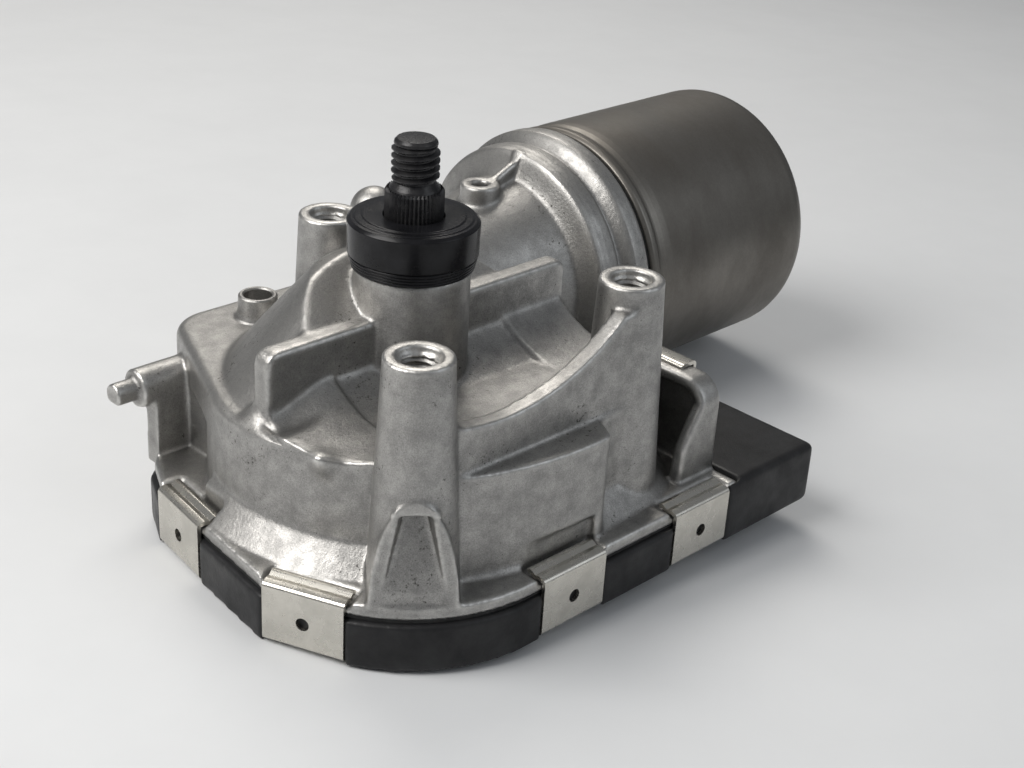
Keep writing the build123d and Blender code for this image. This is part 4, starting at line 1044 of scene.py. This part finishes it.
class OBJECT_OT_wiper_cap(PieceOperator, Operator):
    """Black cap over the barrel with rings below its rim"""
    bl_idname = "object.wiper_cap"
    bl_label = "Shaft cap"

    def execute(self, context):
        setting = context.scene.wiper_cap
        black = finish("Cap black", setting.black, setting.grey, patches=260.0, gloss=(0.17, 0.28),
                       metallic=0.0, grain=2400.0, bump=0.04, shine=0.22)
        top, rim_low = setting.top_z, setting.top_z - setting.rim_h
        rim, skirt, step = setting.radius, setting.radius - 0.6 * MM, 0.18 * MM
        corners = [(setting.hole_r, top), (8.5 * MM, top), (8.7 * MM, top - step), (9.8 * MM, top - step),
                   (10.0 * MM, top - 2 * step), (rim - 0.6 * MM, top - 2 * step), (rim, top - 0.9 * MM),
                   (rim - 0.1 * MM, rim_low + 0.3 * MM), (rim - 0.35 * MM, rim_low), (skirt, rim_low),
                   (skirt - 0.3 * MM, setting.foot_z + 0.3 * MM), (skirt - 0.6 * MM, setting.foot_z),
                   (setting.inner_r, setting.foot_z), (setting.inner_r, setting.ceiling_z),
                   (setting.hole_r, setting.ceiling_z)]
        piece("cap_body", turned("cap_body", corners, about_shaft, 128), black, "cap_plastic", "housing",
              "shaft_cap")
        fall = (rim_low - setting.foot_z) / setting.ring_count
        rings = grown(ring_tree(), bpy.data.meshes.new("start"), Count=setting.ring_count,
                      Radius=skirt - 0.02 * MM, Section=setting.ring_r, Shrink=0.012,
                      Top=(0.0, 0.0, rim_low - 0.55 * fall), Step=(0.0, 0.0, -fall), Material=black)
        piece("cap_rings", rings, black, "cap_plastic", "housing")
        return {"FINISHED"}


class OBJECT_OT_wiper_can(PieceOperator, Operator):
    """Drawn motor can with its rolled mouth and rounded end"""
    bl_idname = "object.wiper_can"
    bl_label = "Motor can"

    def execute(self, context):
        setting = context.scene.wiper_can
        r, x, end = setting.radius, setting.start_x, setting.end_x
        inner, inner_end = r - setting.wall, end - setting.wall
        boss_end = end + setting.boss_h
        mouth_r, waist_r, arc_steps = r - 1.4 * MM, r - 0.5 * MM, 8
        corners = [(inner, x), (mouth_r, x), (mouth_r, x + 0.5 * MM), (waist_r, x + 0.6 * MM),
                   (r, x + 1.3 * MM), (r, x + 2.4 * MM), (waist_r, x + 3.2 * MM), (waist_r, x + 3.9 * MM),
                   (r - 0.12 * MM, x + 4.9 * MM), (r, x + 6.6 * MM)]
        for step in range(arc_steps + 1):
            turn = math.radians(90.0 * step / arc_steps)
            corners.append((r - setting.end_round * (1 - math.cos(turn)),
                            end - setting.end_round * (1 - math.sin(turn))))
        corners += [(setting.boss_r + 1.2 * MM, end), (setting.boss_r, end + 0.8 * MM),
                    (setting.boss_r - 0.6 * MM, boss_end - 0.8 * MM), (setting.boss_r - 1.4 * MM, boss_end),
                    (0.0, boss_end), (0.0, boss_end - setting.wall),
                    (setting.pocket_r, boss_end - setting.wall), (setting.pocket_r, inner_end),
                    (inner, inner_end)]
        steel = finish("Can steel", setting.dark, setting.light, patches=70.0, gloss=(0.36, 0.50),
                       metallic=0.9, grain=1100.0, bump=0.06, stretch=(1.0, 0.6, 0.6),
                       pores=(0.10, (0.07, 0.06, 0.05)), speckle=0.2)
        # Painted shade: a near-black ring fills the gap between the neck and the can, standing for the shadow
        # in that gap.
        gap_black = finish("Gap shadow black", (0.008, 0.008, 0.008), (0.020, 0.020, 0.020), patches=350.0,
                        gloss=(0.6, 0.75), metallic=0.0)
        low_r, high_r, before, after = r - 1.6 * MM, r - 0.95 * MM, x - 0.85 * MM, x + 0.55 * MM
        gap = [(low_r, before), (high_r, before), (high_r, after), (low_r, after)]
        piece("gap_shadow_ring", turned("gap_shadow_ring", gap, about_motor, 128, 0.1), gap_black, "seal_rubber", "housing")
        piece("can_shell", turned("can_shell", corners, about_motor, 160, 0.6), steel, "can_steel", "housing",
              "motor_can")
        return {"FINISHED"}


class OBJECT_OT_wiper_cover(PieceOperator, Operator):
    """Plastic cover with its connector block and softened edges"""
    bl_idname = "object.wiper_cover"
    bl_label = "Cover"

    def execute(self, context):
        setting = context.scene.wiper_cover
        mesh = modified(cad_copy("housing_cover"),
                        ("REMESH", {"mode": "VOXEL", "voxel_size": setting.voxel}))
        even = 0.6
        relax(mesh, np.full(len(mesh.vertices), even), setting.passes)
        mesh = thinned(mesh, setting.triangles)
        mesh.shade_smooth()
        black = finish("Cover black", setting.black, setting.grey, patches=180.0, gloss=(0.36, 0.52),
                       metallic=0.0, grain=1900.0, bump=0.16, shine=0.3)
        piece("cover_shell", mesh, black, "cover_plastic", "housing", "housing_cover")
        return {"FINISHED"}


class OBJECT_OT_wiper_clips(PieceOperator, Operator):
    """Spring clips round the cover and the hook on the end wall"""
    bl_idname = "object.wiper_clips"
    bl_label = "Clips"

    def execute(self, context):
        setting = context.scene.wiper_clips
        steel = finish("Clip steel", setting.dark, setting.light, patches=260.0, gloss=(0.24, 0.31),
                       metallic=1.0, bump=0.0)
        middle = setting.sheet / 2
        face, top, foot = setting.outer - middle, setting.lip_z + middle, setting.foot_z + middle
        back, ridge = -setting.lip + 0.1 * MM, setting.ridge
        path = [(back, top + 0.7 * ridge), (back + 0.6 * MM, top + 1.1 * ridge),
                (back + 1.7 * MM, top + 0.1 * ridge), (back + 2.6 * MM, top + 0.45 * ridge), (face, top),
                (face, foot), (back + 1.2 * MM, foot)]
        tree = clip_tree()
        hole = (0.0, face, (setting.foot_z + setting.lip_z) / 2)
        clips = grown(tree, path_mesh("clip_path", path, CLIP_SEATS), Width=setting.width,
                      Sheet=setting.sheet, Bend=setting.bend, Hole=setting.hole_r, Material=steel,
                      **{"Hole place": hole})
        piece("spring_clips", smooth(clips), steel, "clip_steel", "housing", "cover_clips")
        self.hook(setting, tree, steel)
        return {"FINISHED"}

    def hook(self, setting, tree, steel):
        low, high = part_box("wall_clip")
        middle = setting.sheet / 2
        reach = (high.x - low.x) / 2 - middle
        top, inner_foot = high.z - middle, high.z - setting.sheet - 0.6 * MM
        path = [(-reach - 0.05 * MM, inner_foot), (-reach, top), (reach, top), (reach, low.z)]
        seat = ((0.0, (low.x + high.x) / 2 / MM, -(low.y + high.y) / 2 / MM),)
        hook = grown(tree, path_mesh("hook_path", path, seat), Width=high.y - low.y, Sheet=setting.sheet,
                     Bend=setting.bend, Hole=0.4 * MM, Material=steel,
                     **{"Hole place": (0.0, reach, high.z - 6.0 * MM)})
        piece("wall_hook", smooth(hook), steel, "clip_steel", "housing", "wall_clip")


class OBJECT_OT_wiper_inside(PieceOperator, Operator):
    """Finishes of the parts inside the casting, the can and the cover"""
    bl_idname = "object.wiper_inside"
    bl_label = "Inner parts"

    def execute(self, context):
        for name, dark, light, further, nodes in INNER_FINISHES:
            material = finish(name, dark, light, **further)
            for inner in nodes:
                slots = frame["nodes"][inner].data.materials
                slots.clear()
                slots.append(material)
        return {"FINISHED"}


class OBJECT_OT_wiper_stage(PieceOperator, Operator):
    """Pale floor, soft lights and the camera"""
    bl_idname = "object.wiper_stage"
    bl_label = "Stage"

    def execute(self, context):
        setting = context.scene.wiper_stage
        self.camera(context, setting)
        self.floor(setting)
        for lamp in LAMPS:
            self.lamp(*lamp)
        self.sky(context, setting)
        context.scene.view_settings.view_transform = "Standard"
        return {"FINISHED"}

    def camera(self, context, setting):
        az, pitch, roll = setting.azimuth, setting.pitch, setting.roll
        ahead = Vector((math.cos(az) * math.cos(pitch), math.sin(az) * math.cos(pitch), -math.sin(pitch)))
        right = Vector((math.sin(az), -math.cos(az), 0.0))
        up = right.cross(ahead)
        across = math.cos(roll) * right + math.sin(roll) * up
        above = math.cos(roll) * up - math.sin(roll) * right
        turn = Matrix((across, above, -ahead)).transposed().to_4x4()
        data = bpy.data.cameras.new("Camera")
        data.lens, data.sensor_width = setting.lens, 36.0
        data.clip_start, data.clip_end = 0.01, 20.0
        camera = bpy.data.objects.new("Camera", data)
        camera.matrix_world = Matrix.Translation(setting.eye) @ turn
        context.scene.collection.objects.link(camera)
        context.scene.camera = camera

    def floor(self, setting):
        reach, clearance = 3.0, 0.02 * MM
        low, high = (-setting.floor_slope * (x - setting.floor_start) - clearance for x in (-reach, reach))
        mesh = bpy.data.meshes.new("floor")
        mesh.from_pydata([(-reach, -reach, low), (reach, -reach, high), (reach, reach, high),
                          (-reach, reach, low)], [], [(0, 1, 2, 3)])
        paper = finish("Floor paper", [0.97 * c for c in setting.floor], setting.floor, patches=30.0,
                       gloss=(0.75, 0.85), metallic=0.0, grain=600.0, bump=0.02)
        mesh.materials.append(paper)
        added("floor", mesh)

    def lamp(self, name, place, width, power, colour):
        data = bpy.data.lights.new(name, "AREA")
        data.shape, data.size = "DISK", width
        data.energy, data.color = power, colour
        lamp = bpy.data.objects.new(name, data)
        lamp.location = place
        lamp.rotation_mode = "QUATERNION"
        lamp.rotation_quaternion = (LAMP_AIM - Vector(place)).to_track_quat("-Z", "Y")
        bpy.context.scene.collection.objects.link(lamp)

    def sky(self, context, setting):
        world = bpy.data.worlds.new("Studio")
        world.use_nodes = True
        tree = world.node_tree
        place = node(tree, "ShaderNodeTexCoord").outputs["Generated"]
        height = node(tree, "ShaderNodeSeparateXYZ", {0: place}).outputs["Z"]
        glow = ranged(tree, height, 0.0, 1.0, -0.1, 0.9)
        colour = mixed(tree, glow, [0.55 * c for c in setting.sky], setting.sky)
        back = tree.nodes["Background"]
        tree.links.new(colour, back.inputs["Color"])
        back.inputs["Strength"].default_value = SKY_STRENGTH
        context.scene.world = world


class VIEW3D_PT_wiper_motor(Panel):
    """Sizes, colours and pieces of the wiper motor"""
    bl_idname = "VIEW3D_PT_wiper_motor"
    bl_label = "Wiper motor"
    bl_space_type = "VIEW_3D"
    bl_region_type = "UI"
    bl_category = "Wiper motor"

    def draw(self, context):
        for name, settings in SETTINGS.items():
            box = self.layout.box()
            box.label(text=settings.__doc__)
            group = getattr(context.scene, name)
            for item in settings.__annotations__:
                box.prop(group, item)
        for operator in OPERATORS:
            self.layout.operator(operator.bl_idname)


SETTINGS = {
    "wiper_casting": CastingSettings,
    "wiper_shaft": ShaftSettings,
    "wiper_cap": CapSettings,
    "wiper_can": CanSettings,
    "wiper_cover": CoverSettings,
    "wiper_clips": ClipSettings,
    "wiper_stage": StageSettings,
}
OPERATORS = (OBJECT_OT_wiper_stage, OBJECT_OT_wiper_casting, OBJECT_OT_wiper_shaft, OBJECT_OT_wiper_cap,
             OBJECT_OT_wiper_can, OBJECT_OT_wiper_cover, OBJECT_OT_wiper_clips, OBJECT_OT_wiper_inside)


def register():
    for made in (*SETTINGS.values(), *OPERATORS, VIEW3D_PT_wiper_motor):
        bpy.utils.register_class(made)
    for name, settings in SETTINGS.items():
        setattr(bpy.types.Scene, name, PointerProperty(type=settings))


def unregister():
    for name in SETTINGS:
        delattr(bpy.types.Scene, name)
    for made in (VIEW3D_PT_wiper_motor, *reversed(OPERATORS), *reversed(SETTINGS.values())):
        bpy.utils.unregister_class(made)


def main():
    """Registers the add-on and makes every piece in order."""
    register()
    make_effects()
    bpy.ops.object.wiper_stage()
    bpy.ops.object.wiper_casting()
    bpy.ops.object.wiper_shaft()
    bpy.ops.object.wiper_cap()
    bpy.ops.object.wiper_can()
    bpy.ops.object.wiper_cover()
    bpy.ops.object.wiper_clips()
    bpy.ops.object.wiper_inside()


if __name__ == "__main__":
    main()
